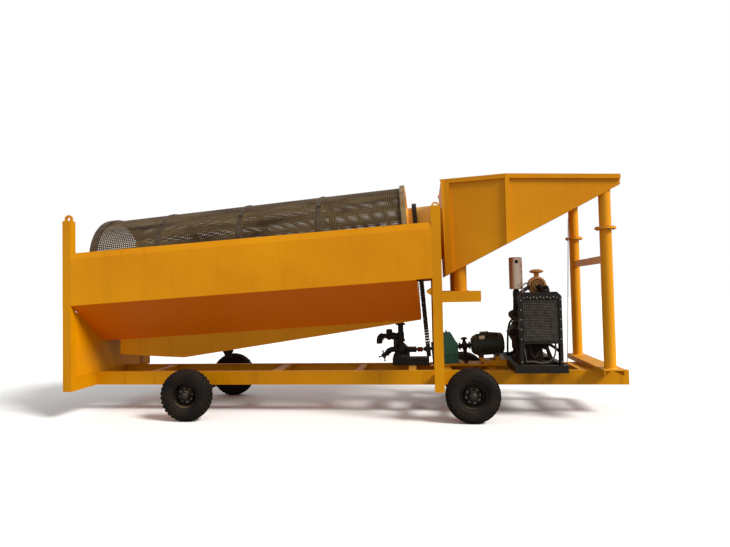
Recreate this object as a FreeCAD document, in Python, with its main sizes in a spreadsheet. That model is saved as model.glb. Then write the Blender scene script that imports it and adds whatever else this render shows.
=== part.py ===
import FreeCAD, Part
import math
import os
import re
import Sketcher

# Mobile trommel screen: a wheeled frame that carries an inclined rotating screen drum,
# a wash trough, a feed hopper, a chain drive with a pump, and a diesel set that
# stands across the frame. X runs along the frame to the hopper end, Y across it,
# Z up. The origin lies on the ground under the middle of the machine.

V = FreeCAD.Vector
doc = FreeCAD.newDocument("trommel")
sheet = doc.addObject("Spreadsheet::Sheet", "Sizes")

# Driving sizes in millimetres and degrees: alias, value, meaning
SIZES = [
    ("len_h", 4431, "half length over the rear posts and the rail ends"),
    ("wid_h", 1130, "half width over posts and side panels"),
    ("rail_z", 467, "underside of the chassis rails"),
    ("rail_h", 221, "rail depth"),
    ("rail_y", 473, "outer face of the rail web"),
    ("rail_fl", 78, "rail flange width"),
    ("rail_t", 10, "rail web and flange thickness"),
    ("beam_l", 90, "front beam length along the frame"),
    ("post_l", 142, "post size along the frame"),
    ("post_w", 120, "post size across the frame"),
    ("post_rear_top", 3211, "top of the rear posts"),
    ("post_mid_top", 3234, "top of the middle posts"),
    ("post_mid_x", 1473, "left face of the middle posts"),
    ("gus_z", 1950, "middle post gusset height"),
    ("gus_h", 66, "middle post gusset half height"),
    ("gus_l", 84, "middle post gusset reach"),
    ("gus_t", 14, "middle post gusset edge"),
    ("eye_r", 66, "rear lifting eye outer radius"),
    ("eye_up", 36, "rear lifting eye centre above the post"),
    ("eye_hole", 30, "rear lifting eye hole radius"),
    ("eye_t", 30, "lifting eye plate thickness"),
    ("loop_r", 58, "middle lifting loop outer radius"),
    ("loop_hole", 36, "middle lifting loop inner radius"),
    ("panel_x", -1350, "reference station of the trough"),
    ("panel_z", 2003, "panel lower edge at the reference station"),
    ("panel_tilt", 3, "trough and panel incline in degrees"),
    ("panel_t", 6, "panel sheet thickness"),
    ("panel_h", 835, "panel height"),
    ("lip_h", 98, "height of the leaning strip on top of the panel"),
    ("lip_in", 14, "inward lean of that strip"),
    ("chan_y", 310, "half width of the trough channel"),
    ("slope_drop", 635, "fall of the trough side plates"),
    ("slope_t", 8, "side plate thickness measured upright"),
    ("chan_t", 6, "channel wall thickness"),
    ("chan_x0", -3950, "rear end of the trough channel"),
    ("chan_s1", 1180, "station of the trough's front end along the drum axis"),
    ("chan_xlow", -2789, "station of the lowest channel point"),
    ("chan_zlow", 902, "height of the lowest channel point"),
    ("chan_xmid", -3390, "station of the channel floor bend"),
    ("chan_zmid", 932, "height of the channel floor bend"),
    ("chan_zrear", 972, "channel floor at its rear end"),
    ("chan_zfront", 1492, "channel floor at its front end"),
    ("end_t", 6, "end plate thickness"),
    ("chute_up", 306, "rise of the discharge chute from the near to the far wall"),
    ("chute_fall", 21.7, "fall of the discharge chute to the rear, degrees"),
    ("drain_x", -2120, "drain station under the channel"),
    ("drain_r0", 93, "drain radius at the channel"),
    ("drain_r1", 46, "drain radius at its foot"),
    ("drain_h", 122, "drain height"),
    ("prop_x0", -4020, "rear side of the trough prop"),
    ("prop_x1", -3890, "front side of the trough prop"),
    ("prop_y0", 410, "near end of the trough prop"),
    ("prop_y1", 560, "far end of the trough prop"),
    ("prop_h", 175, "trough prop height"),
    ("prop_t", 9, "trough prop wall"),
    ("drum_z", 2797, "drum axis height over the origin"),
    ("drum_tilt", 4.3, "drum incline in degrees"),
    ("screen_r", 840, "outer radius of the screen cylinder"),
    ("screen_t", 6, "screen plate thickness"),
    ("hole_l", 120, "screen opening along the drum"),
    ("hole_w", 120, "screen opening round the drum"),
    ("hole_rows", 3, "rings of openings in each screen section"),
    ("hole_n", 12, "openings in each ring"),
    ("ring_r", 866, "rear riding ring radius"),
    ("ring_s0", -4165, "rear end of the drum"),
    ("ring_s1", -4045, "front face of the rear riding ring"),
    ("band_w", 66, "band width between screen sections"),
    ("band_r", 851, "band outer radius"),
    ("band_a", -3010, "first band start"),
    ("band_b", -1628, "second band start"),
    ("band_c", -312, "third band start"),
    ("flange_r", 884, "front riding ring radius"),
    ("flange_s0", 1044, "front riding ring start"),
    ("flange_s1", 1124, "front riding ring end"),
    ("neck_r", 490, "inlet neck outer radius"),
    ("neck_t", 8, "inlet neck wall"),
    ("neck_s1", 1590, "inlet neck end"),
    ("chain_s", 1250, "station of the drive chain along the drum axis"),
    ("wheel_w", 58, "sprocket width over both rows of teeth"),
    ("row_gap", 18, "gap between the two rows of teeth"),
    ("big_root", 506, "drum sprocket root radius"),
    ("big_tip", 524, "drum sprocket tip radius"),
    ("big_teeth", 66, "drum sprocket teeth"),
    ("small_root", 80, "drive sprocket root radius"),
    ("small_tip", 98, "drive sprocket tip radius"),
    ("small_teeth", 12, "drive sprocket teeth"),
    ("drv_y", 250, "drive line offset across the frame"),
    ("drv_n", -1941, "drive line below the drum axis and parallel to it"),
    ("chain_gap", 0.4, "gap between the tooth tips and the chain band"),
    ("chain_h", 24, "chain band height"),
    ("chain_w", 76, "width of the duplex chain"),
    ("roll_r", 90, "trunnion roller radius"),
    ("roll_w", 90, "trunnion roller width"),
    ("roll_a", 32, "trunnion roller angle from straight below, degrees"),
    ("roll_gap", 0.4, "gap between a roller and its ring"),
    ("pin_r", 22, "roller pin radius"),
    ("cheek_t", 12, "roller bracket plate thickness"),
    ("cheek_gap", 6, "gap between roller and bracket plate"),
    ("wheel_x0", -2405, "rear axle station"),
    ("wheel_x1", 2028, "front axle station"),
    ("tyre_r", 405, "tyre radius over the lugs"),
    ("tyre_y", 1022, "tyre centre plane"),
    ("tyre_w", 200, "tyre section width"),
    ("bead_r", 205, "rim bead radius"),
    ("axle_w", 110, "axle tube size"),
    ("axle_y", 850, "axle tube half length"),
    ("hub_r", 74, "wheel hub radius"),
    ("spin_r", 35, "spindle radius"),
    ("hop_x0", 1690, "hopper rear wall station at its foot"),
    ("hop_fold", 2600, "station where the hopper starts to narrow"),
    ("hop_x1", 4240, "hopper lip station"),
    ("hop_y", 920, "hopper half width at the wide part"),
    ("hop_yn", 700, "hopper half width at the rear wall"),
    ("hop_ztop", 3700, "hopper rim height at the fold"),
    ("hop_zend", 3618, "hopper rim height at the lip"),
    ("hop_zlip", 3470, "hopper floor height at the lip"),
    ("hop_zlow", 2190, "hopper floor height at the rear wall"),
    ("hop_t", 8, "hopper sheet thickness"),
    ("rim_w", 34, "hopper rim flange width"),
    ("rim_h", 68, "hopper rim strip height"),
    ("rear_w", 105, "width of the hopper's rear upright strip"),
    ("spout_r", 430, "feed spout radius"),
    ("arm_x1", 2175, "free end of the hopper arms"),
    ("arm_z", 1790, "underside of the hopper arms"),
    ("arm_h", 162, "hopper arm depth"),
    ("stub_x", 1912, "hopper stub station"),
    ("stub_y", 620, "hopper stub offset"),
    ("stub_r", 100, "hopper stub radius"),
    ("leg_x", 4043, "hopper leg station"),
    ("leg_y", 827, "hopper leg offset"),
    ("leg_r", 84, "hopper leg radius"),
    ("leg_fz", 2840, "leg flange height"),
    ("leg_fr", 148, "leg flange radius"),
    ("base_w", 280, "leg base channel width"),
    ("base_h", 82, "leg base channel depth"),
    ("base_t", 12, "leg base channel wall"),
    ("base_y", 1010, "leg base channel half length"),
    ("bar_z", 2384, "leg cross bar height"),
    ("bar_h", 108, "leg cross bar depth"),
    ("gen_x0", 2690, "diesel set base left side"),
    ("gen_x1", 3470, "diesel set base right side"),
    ("gen_y0", -775, "diesel set base near end"),
    ("gen_y1", 985, "diesel set base far end"),
    ("gen_h", 115, "diesel set base depth"),
    ("rad_x0", 2775, "radiator left side"),
    ("rad_x1", 3400, "radiator right side"),
    ("rad_z0", 1130, "radiator foot"),
    ("rad_z1", 1840, "radiator core top"),
    ("rad_y", -770, "radiator front face"),
    ("rad_d", 120, "radiator depth"),
    ("tank_h", 72, "radiator top tank height"),
    ("post_t", 46, "radiator frame post width"),
    ("gen_w", 80, "diesel set base bar width"),
    ("eng_x", 3060, "engine centre station"),
    ("eng_z", 1180, "crankshaft height"),
    ("eng_w", 170, "engine block half width at the crankcase"),
    ("eng_wt", 132, "engine block half width at its top"),
    ("eng_y0", -480, "front end of the block"),
    ("eng_y1", 250, "rear end of the block"),
    ("eng_up", 260, "block height over the crankshaft"),
    ("sump_w", 124, "oil pan half width"),
    ("sump_up", 20, "gap between oil pan and base"),
    ("head_h", 120, "cylinder head height"),
    ("head_w", 140, "cylinder head half width"),
    ("cover_h", 90, "rocker cover height"),
    ("cyl_n", 4, "number of cylinders"),
    ("mani_x", 245, "exhaust manifold offset"),
    ("mani_r", 40, "exhaust manifold radius"),
    ("bell_r", 235, "flywheel housing radius"),
    ("bell_l", 80, "flywheel housing length"),
    ("alt_r", 225, "generator barrel radius"),
    ("alt_y1", 900, "end of the generator barrel"),
    ("alt_end", 60, "generator end bell length"),
    ("fan_y", -570, "fan plane"),
    ("fan_up", 130, "fan centre above the crankshaft"),
    ("fan_r", 240, "fan radius"),
    ("fan_hub", 70, "fan hub radius"),
    ("fan_n", 6, "number of fan blades"),
    ("muf_x", 2815, "muffler station"),
    ("muf_y", -300, "muffler offset"),
    ("muf_z0", 1960, "muffler foot"),
    ("muf_z1", 2470, "muffler top"),
    ("muf_r", 104, "muffler radius"),
    ("air_x", 3140, "air cleaner station"),
    ("air_y", -280, "air cleaner offset"),
    ("air_z", 2015, "air cleaner axis height"),
    ("air_r", 140, "air cleaner radius"),
    ("air_l", 80, "air cleaner half length"),
    ("air_top", 2272, "top of the air cleaner cap"),
    ("drv_w", 200, "drive base half width"),
    ("drv_b", 80, "drive base bar width"),
    ("drv_x0", 1425, "rear end of the drive base"),
    ("drv_x1", 2685, "front end of the drive base"),
    ("waist_x0", 1970, "rear end of the low part of the drive base"),
    ("waist_x1", 2320, "front end of the low part of the drive base"),
    ("waist_h", 26, "height of the low part of the drive base"),
    ("red_h", 262, "drive line above the sloping top of the drive base"),
    ("red_s0", 1430, "gear reducer rear station along the drum axis"),
    ("red_s1", 1748, "gear reducer front station along the drum axis"),
    ("red_w", 160, "gear reducer half width"),
    ("red_up", 246, "gear reducer height over its shaft"),
    ("cpl_s0", 1763.3, "coupling rear end"),
    ("cpl_s1", 1984.7, "coupling front end"),
    ("cpl_r", 66, "coupling flange radius"),
    ("knob_up", 150, "top of the brake over the drive line"),
    ("mot_s0", 1985, "motor flange station"),
    ("mot_s1", 2532, "motor cowl end"),
    ("mot_r", 166, "motor barrel radius"),
    ("mot_fin", 20, "motor fin height"),
    ("mot_fins", 26, "number of motor fins"),
    ("mot_h", 200, "motor shaft height over its feet"),
    ("block_s0", 1305, "rear side of the shaft block"),
    ("block_s1", 1385, "front side of the shaft block"),
    ("shaft_r", 28, "drive shaft radius"),
    ("pmp_x", 920, "pump casing station"),
    ("pmp_x1", 1300, "end of the pump coupling"),
    ("pmp_r", 133, "pump casing radius"),
    ("sleeper_h", 60, "height of the sleepers under the pump base"),
    ("pmp_h", 66, "pump base depth"),
    ("pmp_w", 120, "pump base half width"),
    ("pipe_r", 48, "pump riser radius"),
    ("arm_pr", 36, "side pipe radius"),
    ("side_x", 560, "station of the side pipe bend"),
    ("side_z", 1185, "side pipe height"),
    ("joint_z", 1110, "height of the joint between pump and riser"),
    ("low_x", 735, "station where the suction pipe bends down"),
    ("low_a", 42, "fall of the suction pipe, degrees"),
    ("low_l", 190, "length of the falling suction pipe"),
]
for row, (alias, value, note) in enumerate(SIZES, 1):
    sheet.set("A%d" % row, note)
    sheet.set("B%d" % row, str(value))
    sheet.setAlias("B%d" % row, alias)
doc.recompute()
NAMES = {row[0] for row in SIZES}
SUBPARTS = []


# Expression text for one property, with the sheet's name before every alias
def ex(text):
    return re.sub(r"[a-z_][a-z0-9_]*", lambda w: "Sizes." + w.group(0)
                  if w.group(0) in NAMES else w.group(0), str(text))


def bind(obj, prop, text):
    obj.setExpression(prop, ex(text))


# Position and turn of an object, every number from the sheet
def place(obj, x="0", y="0", z="0", axis=(0, 0, 1), angle="0"):
    obj.Placement = FreeCAD.Placement(V(0, 0, 0), FreeCAD.Rotation(V(*axis), 1))
    for key, text in (("x", x), ("y", y), ("z", z)):
        bind(obj, "Placement.Base." + key, text)
    bind(obj, "Placement.Rotation.Angle", "(%s)*1" % angle)
    return obj


# Rectangular block between two corners
def box(name, x, y, z):
    obj = doc.addObject("Part::Box", name)
    for prop, (lo, hi) in (("Length", x), ("Width", y), ("Height", z)):
        bind(obj, prop, "(%s)-(%s)" % (hi, lo))
    for key, (lo, hi) in (("x", x), ("y", y), ("z", z)):
        bind(obj, "Placement.Base." + key, lo)
    return obj


TURN = {"x": ((0, 1, 0), 90), "y": ((1, 0, 0), -90), "z": ((0, 0, 1), 0)}


# Round bar along an axis from a to b, centre given by the two other coordinates
def rod(name, axis, a, b, c, d, r):
    obj = doc.addObject("Part::Cylinder", name)
    bind(obj, "Radius", r)
    bind(obj, "Height", "(%s)-(%s)" % (b, a))
    vec, ang = TURN[axis]
    obj.Placement = FreeCAD.Placement(V(0, 0, 0), FreeCAD.Rotation(V(*vec), ang))
    order = {"x": (a, c, d), "y": (c, a, d), "z": (c, d, a)}[axis]
    for key, text in zip("xyz", order):
        bind(obj, "Placement.Base." + key, text)
    return obj


def cut(name, base, tool):
    obj = doc.addObject("Part::Cut", name)
    obj.Base, obj.Tool = base, tool
    return obj


def common(name, base, tool):
    obj = doc.addObject("Part::Common", name)
    obj.Base, obj.Tool = base, tool
    return obj


def weld(name, parts):
    obj = doc.addObject("Part::MultiFuse", name)
    obj.Shapes = parts
    return obj


# Separate solids that share one name
def group(name, parts):
    obj = doc.addObject("Part::Compound", name)
    obj.Links = parts
    return obj


def tube(name, axis, a, b, c, d, r, ri):
    return cut(name, rod(name + "_o", axis, a, b, c, d, r),
               rod(name + "_i", axis, "(%s)-1" % a, "(%s)+1" % b, c, d, ri))


# Closed loop of lines in a sketch, each corner bound to the sheet
def lines(sk, pts):
    num = [V(evaluate(a), evaluate(b), 0) for a, b in pts]
    count = len(num)
    for i in range(count):
        sk.addGeometry(Part.LineSegment(num[i], num[(i + 1) % count]), False)
    for i in range(count):
        sk.addConstraint(Sketcher.Constraint("Coincident", i, 2, (i + 1) % count, 1))
    for i, (a, b) in enumerate(pts):
        for kind, value, text in (("DistanceX", num[i].x, a), ("DistanceY", num[i].y, b)):
            k = sk.addConstraint(Sketcher.Constraint(kind, -1, 1, i, 1, value))
            sk.setExpression("Constraints[%d]" % k, ex(text))


# Closed outline on an origin plane of its own body
def outline(body, plane, pts):
    sk = body.newObject("Sketcher::SketchObject", body.Name + "_sk")
    face = [f for f in body.Origin.OriginFeatures if f.Role == plane][0]
    sk.AttachmentSupport = (face, "")
    sk.MapMode = "FlatFace"
    lines(sk, pts)
    return sk


# Number for an expression text: plain arithmetic on sheet values
def evaluate(text):
    probe = doc.getObject("Probe") or doc.addObject("App::FeaturePython", "Probe")
    if not hasattr(probe, "Out"):
        probe.addProperty("App::PropertyFloat", "Out")
    return float(probe.evalExpression(ex(str(text))))


# Flat part: an outline extruded between two planes
def prism(name, plane, pts, lo, hi):
    body = doc.addObject("PartDesign::Body", name)
    sk = outline(body, plane, pts)
    pad = body.newObject("PartDesign::Pad", name + "_pad")
    pad.Profile = sk
    bind(pad, "Length", "(%s)-(%s)" % (hi, lo))
    key, start = {"XZ_Plane": ("y", hi), "YZ_Plane": ("x", lo), "XY_Plane": ("z", lo)}[plane]
    bind(body, "Placement.Base." + key, start)
    return body


# Turned part: an outline of (along the axis, radius) corners spun about the X axis
def turned(name, pts):
    body = doc.addObject("PartDesign::Body", name)
    sk = outline(body, "XY_Plane", pts)
    rev = body.newObject("PartDesign::Revolution", name + "_rev")
    rev.Profile = sk
    rev.ReferenceAxis = (sk, ["H_Axis"])
    rev.Angle = 360
    return body


# Turned part on its own axis through a point
SPIN = {"x": ((0, 0, 1), "0"), "y": ((0, 0, 1), "90"), "z": ((0, 1, 0), "-90")}


def turned_at(name, axis, pts, x="0", y="0", z="0"):
    body = turned(name, pts)
    vec, ang = SPIN[axis]
    return place(body, x, y, z, vec, ang)


# Outline across X at a station: half-width and height rows, mirrored about the middle
def mirrored(rows, mid):
    return ([("%s+%s" % (mid, w), z) for w, z in rows]
            + [("%s-(%s)" % (mid, w), z) for w, z in reversed(rows)])


# Rows of a table as records, with one name for each column
def table(columns, *rows):
    return [dict(zip(columns.split(), row)) for row in rows]


def keep(obj, name):
    obj.Label = name
    SUBPARTS.append((name, obj))
    return obj


# Drum frame: X along the inclined drum axis, origin where the axis crosses X = 0
def to_drum(obj):
    return place(obj, z="drum_z", axis=(0, 1, 0), angle="-drum_tilt")


TOP = "(rail_z+rail_h)"
SLOPE = "(slope_drop/(wid_h-chan_y))"
SIDES = (("n", -1), ("f", 1))


# Interval on one side of the machine: from a to b outward, mirrored for the near side
def side(s, a, b):
    return (a, b) if s > 0 else ("-(%s)" % b, "-(%s)" % a)


# Station on the frame, at a height, of a plane square to the drum axis
def square_to_drum(s, z):
    return "((%s)/cos(drum_tilt)-((%s)-drum_z)*tan(drum_tilt))" % (s, z)


# Height over a station of the frame of a line parallel to the drum axis
def along_drum(x, n):
    return "(drum_z+(%s)*tan(drum_tilt)+(%s)/cos(drum_tilt))" % (x, n)


def chassis_rails():
    parts = []
    for tag, s in SIDES:
        x = ("-len_h+post_l", "len_h")
        web = box("rail_web_" + tag, x, side(s, "rail_y-rail_t", "rail_y"), ("rail_z", TOP))
        fl = side(s, "rail_y-rail_fl", "rail_y-rail_t")
        low = box("rail_low_" + tag, x, fl, ("rail_z", "rail_z+rail_t"))
        high = box("rail_high_" + tag, x, fl, (TOP + "-rail_t", TOP))
        parts.append(weld("rail_" + tag, [web, low, high]))
    keep(group("chassis_rails", parts), "chassis_rails")


# Cross members between the rail webs: station and width along the frame
CROSS = table("x wide", (-3300, 120), (-1150, 160), (250, 120), (1120, 120), (1700, 120),
              (2420, 120), (3080, 160), (3800, 120))


def cross_members():
    inner = ("-(rail_y-rail_t)", "rail_y-rail_t")
    z = ("rail_z+rail_t", TOP + "-rail_t")
    parts = []
    for i, row in enumerate(CROSS):
        half = "(rail_h/221*%s/2)" % row["wide"]
        parts.append(box("cross_%d" % i, ("len_h/4431*%s-%s" % (row["x"], half),
                                          "len_h/4431*%s+%s" % (row["x"], half)), inner, z))
    parts.append(box("cross_front", ("len_h-beam_l", "len_h"), inner, z))
    parts.append(box("cross_rear", ("-len_h", "-len_h+post_l"),
                     ("-(wid_h-post_w)", "wid_h-post_w"), ("rail_z", TOP)))
    for tag, s in SIDES:
        parts.append(box("outrigger_" + tag, ("post_mid_x+20", "post_mid_x+post_l-20"),
                         side(s, "rail_y", "wid_h-post_w"), ("rail_z+20", TOP + "-40")))
    prop = box("prop_o", ("prop_x0", "prop_x1"), ("prop_y0", "prop_y1"),
               (TOP, TOP + "+prop_h"))
    bore = box("prop_i", ("prop_x0+prop_t", "prop_x1-prop_t"), ("prop_y0-5", "prop_y1+5"),
               (TOP + "+3*prop_t", TOP + "+prop_h-prop_t"))
    parts.append(cut("trough_prop", prop, bore))
    keep(group("cross_members", parts), "cross_members")


# Corner posts; the middle pair carries a pointed gusset on its rear face
def frame_posts():
    parts = []
    for tag, s in SIDES:
        y = side(s, "wid_h-post_w", "wid_h")
        parts.append(box("post_rear_" + tag, ("-len_h", "-len_h+post_l"), y,
                         ("rail_z", "post_rear_top")))
        post = box("post_mid_" + tag, ("post_mid_x", "post_mid_x+post_l"), y,
                   ("rail_z", "post_mid_top"))
        lo, hi = side(s, "wid_h-post_w+gus_t", "wid_h-gus_t")
        nose = prism("gusset_" + tag, "XZ_Plane",
                     [("post_mid_x+1", "gus_z+gus_h"), ("post_mid_x-gus_l", "gus_z+gus_t"),
                      ("post_mid_x-gus_l", "gus_z-gus_t"), ("post_mid_x+1", "gus_z-gus_h")],
                     lo, hi)
        parts.append(weld("post_gus_" + tag, [post, nose]))
    keep(group("frame_posts", parts), "frame_posts")


def lifting_eyes():
    parts = []
    for tag, s in SIDES:
        y = side(s, "wid_h-post_w/2-eye_t/2", "wid_h-post_w/2+eye_t/2")
        xr = "-len_h+post_l/2"
        pad = box("eye_pad_" + tag, ("-len_h+post_l/2-eye_r", "-len_h+post_l/2+eye_r"), y,
                  ("post_rear_top", "post_rear_top+eye_up"))
        disc = rod("eye_disc_" + tag, "y", y[0], y[1], xr, "post_rear_top+eye_up", "eye_r")
        hole = rod("eye_hole_" + tag, "y", y[0] + "-5", y[1] + "+5", xr,
                   "post_rear_top+eye_up", "eye_hole")
        low = box("eye_low_" + tag, ("-len_h", "-len_h+post_l"), (y[0] + "-5", y[1] + "+5"),
                  ("post_rear_top-100", "post_rear_top"))
        eye = cut("eye_a_" + tag, weld("eye_w_" + tag, [pad, disc]), hole)
        parts.append(cut("eye_" + tag, eye, low))
        xm = "post_mid_x+post_l/2"
        ring = tube("loop_ring_" + tag, "y", y[0], y[1], xm, "post_mid_top", "loop_r",
                    "loop_hole")
        under = box("loop_low_" + tag, ("post_mid_x-100", "post_mid_x+post_l+100"),
                    (y[0] + "-5", y[1] + "+5"), ("post_mid_top-100", "post_mid_top"))
        parts.append(cut("loop_" + tag, ring, under))
    keep(group("lifting_eyes", parts), "lifting_eyes")


# Side panels: sheet with a slightly leaning upper strip, between the posts' faces
def side_panels():
    parts = []
    for tag, s in SIDES:
        k = "1" if s > 0 else "-1"
        pts = [("wid_h", "0"), ("wid_h", "panel_h-lip_h"), ("wid_h-lip_in", "panel_h"),
               ("wid_h-lip_in-panel_t", "panel_h"), ("wid_h-panel_t", "panel_h-lip_h"),
               ("wid_h-panel_t", "-panel_t*" + SLOPE)]
        pts = [("(%s)*%s" % (a, k), b) for a, b in pts]
        body = prism("panel_" + tag, "YZ_Plane", pts, "0", "2*len_h")
        place(body, x="panel_x-len_h*cos(panel_tilt)", z="panel_z-len_h*sin(panel_tilt)",
              axis=(0, 1, 0), angle="-panel_tilt")
        frame = box("panel_trim_" + tag, ("-len_h+post_l", "post_mid_x"), ("-2000", "2000"),
                    ("0", "4500"))
        parts.append(common("side_panel_" + tag, body, frame))
    keep(group("side_panels", parts), "side_panels")


# Inclined plates that lead from the panels down to the channel
def trough_sides():
    parts = []
    for tag, s in SIDES:
        k = "1" if s > 0 else "-1"
        pts = [("wid_h", "0"), ("chan_y", "-slope_drop"), ("chan_y", "-slope_drop-slope_t"),
               ("wid_h", "-slope_t")]
        pts = [("(%s)*%s" % (a, k), b) for a, b in pts]
        body = prism("slope_" + tag, "YZ_Plane", pts, "0", "2*len_h")
        place(body, x="panel_x-len_h*cos(panel_tilt)", z="panel_z-len_h*sin(panel_tilt)",
              axis=(0, 1, 0), angle="-panel_tilt")
        rear = "-len_h+post_l+end_t"
        frame = prism("slope_trim_" + tag, "XZ_Plane",
                      [(rear, "0"), (square_to_drum("chan_s1", "0"), "0"),
                       (square_to_drum("chan_s1", "4500"), "4500"), (rear, "4500")],
                      "-2000", "2000")
        parts.append(common("trough_side_" + tag, body, frame))
    keep(group("trough_sides", parts), "trough_sides")


# Height of the side plates' lower edge over a station of the frame
def foot(x, up="0"):
    return ("panel_z+((%s)-panel_x)*tan(panel_tilt)+(%s-slope_drop)/cos(panel_tilt)"
            % (x, up))


# Front end of the channel floor
CHAN_X1 = square_to_drum("chan_s1", "chan_zfront")


# Height of the channel floor over a station of its long run
def floor_z(x):
    return ("(chan_zlow+((%s)-chan_xlow)*(chan_zfront-chan_zlow)/(%s-chan_xlow))"
            % (x, CHAN_X1))


def trough_channel():
    top_x = square_to_drum("chan_s1", "(chan_zfront+chan_y)")
    low = [(CHAN_X1, "chan_zfront"), ("chan_xlow", "chan_zlow"),
           ("chan_xmid", "chan_zmid"), ("chan_x0", "chan_zrear")]
    wall = [("chan_x0", foot("chan_x0")), (top_x, foot(top_x))] + low
    parts = []
    for tag, s in SIDES:
        lo, hi = side(s, "chan_y-chan_t", "chan_y")
        parts.append(prism("chan_wall_" + tag, "XZ_Plane", wall, lo, hi))
    floor = low + [(x, z + "+chan_t") for x, z in reversed(low)]
    parts.append(prism("chan_floor", "XZ_Plane", floor, "-(chan_y-chan_t)",
                       "chan_y-chan_t"))
    keep(weld("trough_channel", parts), "trough_channel")
    top = "(%s-0.3)" % floor_z("drain_x-drain_r0")
    keep(turned_at("trough_drain", "z",
                   [(top, "0"), (top, "drain_r0"), (top + "-14", "drain_r0"),
                    (top + "-drain_h+12", "drain_r1"), (top + "-drain_h+12", "drain_r1+14"),
                    (top + "-drain_h", "drain_r1+14"), (top + "-drain_h", "0")],
                   x="drain_x"), "trough_drain")


# Rear end plate, front end plate and the chute that closes the channel's rear end and
# sheds the water down to the near lower corner of the rear plate
def end_plates():
    w = "wid_h-post_w"
    rear = prism("rear_plate", "YZ_Plane", mirrored([(w, TOP), (w, "1740"), ("700", "1560")],
                                                    "0"),
                 "-len_h+post_l", "-len_h+post_l+end_t")
    edge = "(wid_h-panel_t-2)"
    fall = "(panel_t+2)*" + SLOPE
    high = square_to_drum("chan_s1", "panel_z")
    drop = "panel_z+(%s-panel_x)*tan(panel_tilt)-%s-slope_t-12" % (high, fall)
    rise = "(%s-drum_z-chan_s1*sin(drum_tilt))/cos(drum_tilt)"
    front = prism("front_sheet", "YZ_Plane",
                  mirrored([(edge, rise % ("(%s)" % drop)),
                            ("chan_y", rise % ("(chan_zfront+12)"))], "0"),
                  "chan_s1+0.3", "chan_s1+0.3+end_t")
    front = to_drum(group("front_place", [front]))
    strip = prism("chute_strip", "YZ_Plane",
                  [("-chan_y-80", "-80*chute_up/(2*chan_y)"),
                   ("chan_y", "chute_up"), ("chan_y", "chute_up+slope_t"),
                   ("-chan_y-80", "-80*chute_up/(2*chan_y)+slope_t")], "-600", "300")
    place(strip, x="chan_x0", z="chan_zrear-slope_t-12", axis=(0, 1, 0),
          angle="-chute_fall")
    span = box("chute_span", ("-len_h+post_l+end_t", "chan_x0-0.3"), ("-chan_y-80", "chan_y"),
               (TOP + "+0.3", "1700"))
    chute = common("chute", strip, span)
    keep(group("end_plates", [rear, front, chute]), "end_plates")


# Inside of the trough, used to mitre the beams that lie across it
def trough_inside(name):
    pts = [("-(wid_h-panel_t)", "-panel_t*" + SLOPE), ("-chan_y", "-slope_drop"),
           ("chan_y", "-slope_drop"), ("wid_h-panel_t", "-panel_t*" + SLOPE),
           ("wid_h-panel_t", "900"), ("-(wid_h-panel_t)", "900")]
    body = prism(name, "YZ_Plane", pts, "0", "2*len_h")
    return place(body, x="panel_x-len_h*cos(panel_tilt)",
                 z="panel_z-len_h*sin(panel_tilt)", axis=(0, 1, 0), angle="-panel_tilt")


# Trunnion rollers: name, centre station, ring radius
STATIONS = [("rear", "(ring_s0+ring_s1)/2", "ring_r"),
            ("front", "(flange_s0+flange_s1)/2", "flange_r")]


def roller_centre(ring, s):
    reach = "(%s+roll_gap+roll_r)" % ring
    return ("%d*%s*sin(roll_a)" % (s, reach), "-%s*cos(roll_a)" % reach)


def roller_beams():
    beams, brackets = [], []
    for end, mid, ring in STATIONS:
        reach = "(%s+roll_gap+roll_r)*cos(roll_a)" % ring
        top = "-(%s+roll_r+30)" % reach
        half = "(roll_w/2+cheek_gap+cheek_t)"
        bar = box("beam_" + end, ("%s-%s" % (mid, half), "%s+%s" % (mid, half)),
                  ("-1000", "1000"), (top + "-80", top))
        to_drum_box = weld("beam_w_" + end, [bar, bar_core(end, mid, half, top)])
        to_drum(to_drum_box)
        beams.append(common("roller_beam_" + end, to_drum_box, trough_inside("in_" + end)))
        for tag, s in SIDES:
            y, z = roller_centre(ring, s)
            for k, sign in (("a", -1), ("b", 1)):
                inner = "%s+%d*(roll_w/2+cheek_gap)" % (mid, sign)
                outer = "%s+%d*(roll_w/2+cheek_gap+cheek_t)" % (mid, sign)
                lo, hi = (inner, outer) if sign > 0 else (outer, inner)
                name = "cheek_%s_%s%s" % (end, tag, k)
                plate = box(name + "_p", (lo, hi), ("%s-70" % y, "%s+70" % y), (top, z))
                boss = rod(name + "_r", "x", lo, hi, y, z, "pin_r+24")
                bore = rod(name + "_b", "x", lo + "-1", hi + "+1", y, z, "pin_r+0.05")
                brackets.append(to_drum(cut(name, weld(name + "_w", [plate, boss]), bore)))
    keep(group("roller_beams", beams), "roller_beams")
    keep(group("roller_brackets", brackets), "roller_brackets")


# A rib under each beam stiffens it and stays inside the trough
def bar_core(end, mid, half, top):
    return box("rib_" + end, ("%s-10" % mid, "%s+10" % mid), ("-420", "420"),
               (top + "-120", top + "-70"))


def rollers():
    for end, mid, ring in STATIONS:
        for tag, s in SIDES:
            y, z = roller_centre(ring, s)
            name = "roller_%s_%s" % (end, "near" if s < 0 else "far")
            out = "roll_w/2+cheek_gap+cheek_t+8"
            body = rod(name + "_b", "x", mid + "-roll_w/2", mid + "+roll_w/2", y, z, "roll_r")
            pin = rod(name + "_p", "x", "%s-(%s)" % (mid, out), "%s+%s" % (mid, out), y, z,
                      "pin_r")
            keep(to_drum(weld(name, [body, pin])), name)


# Screen sections between the bands: first and last station of each
SECTIONS = table("s0 s1", ("ring_s1", "band_a"), ("band_a+band_w", "band_b"),
                 ("band_b+band_w", "band_c"), ("band_c+band_w", "flange_s0"))


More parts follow.
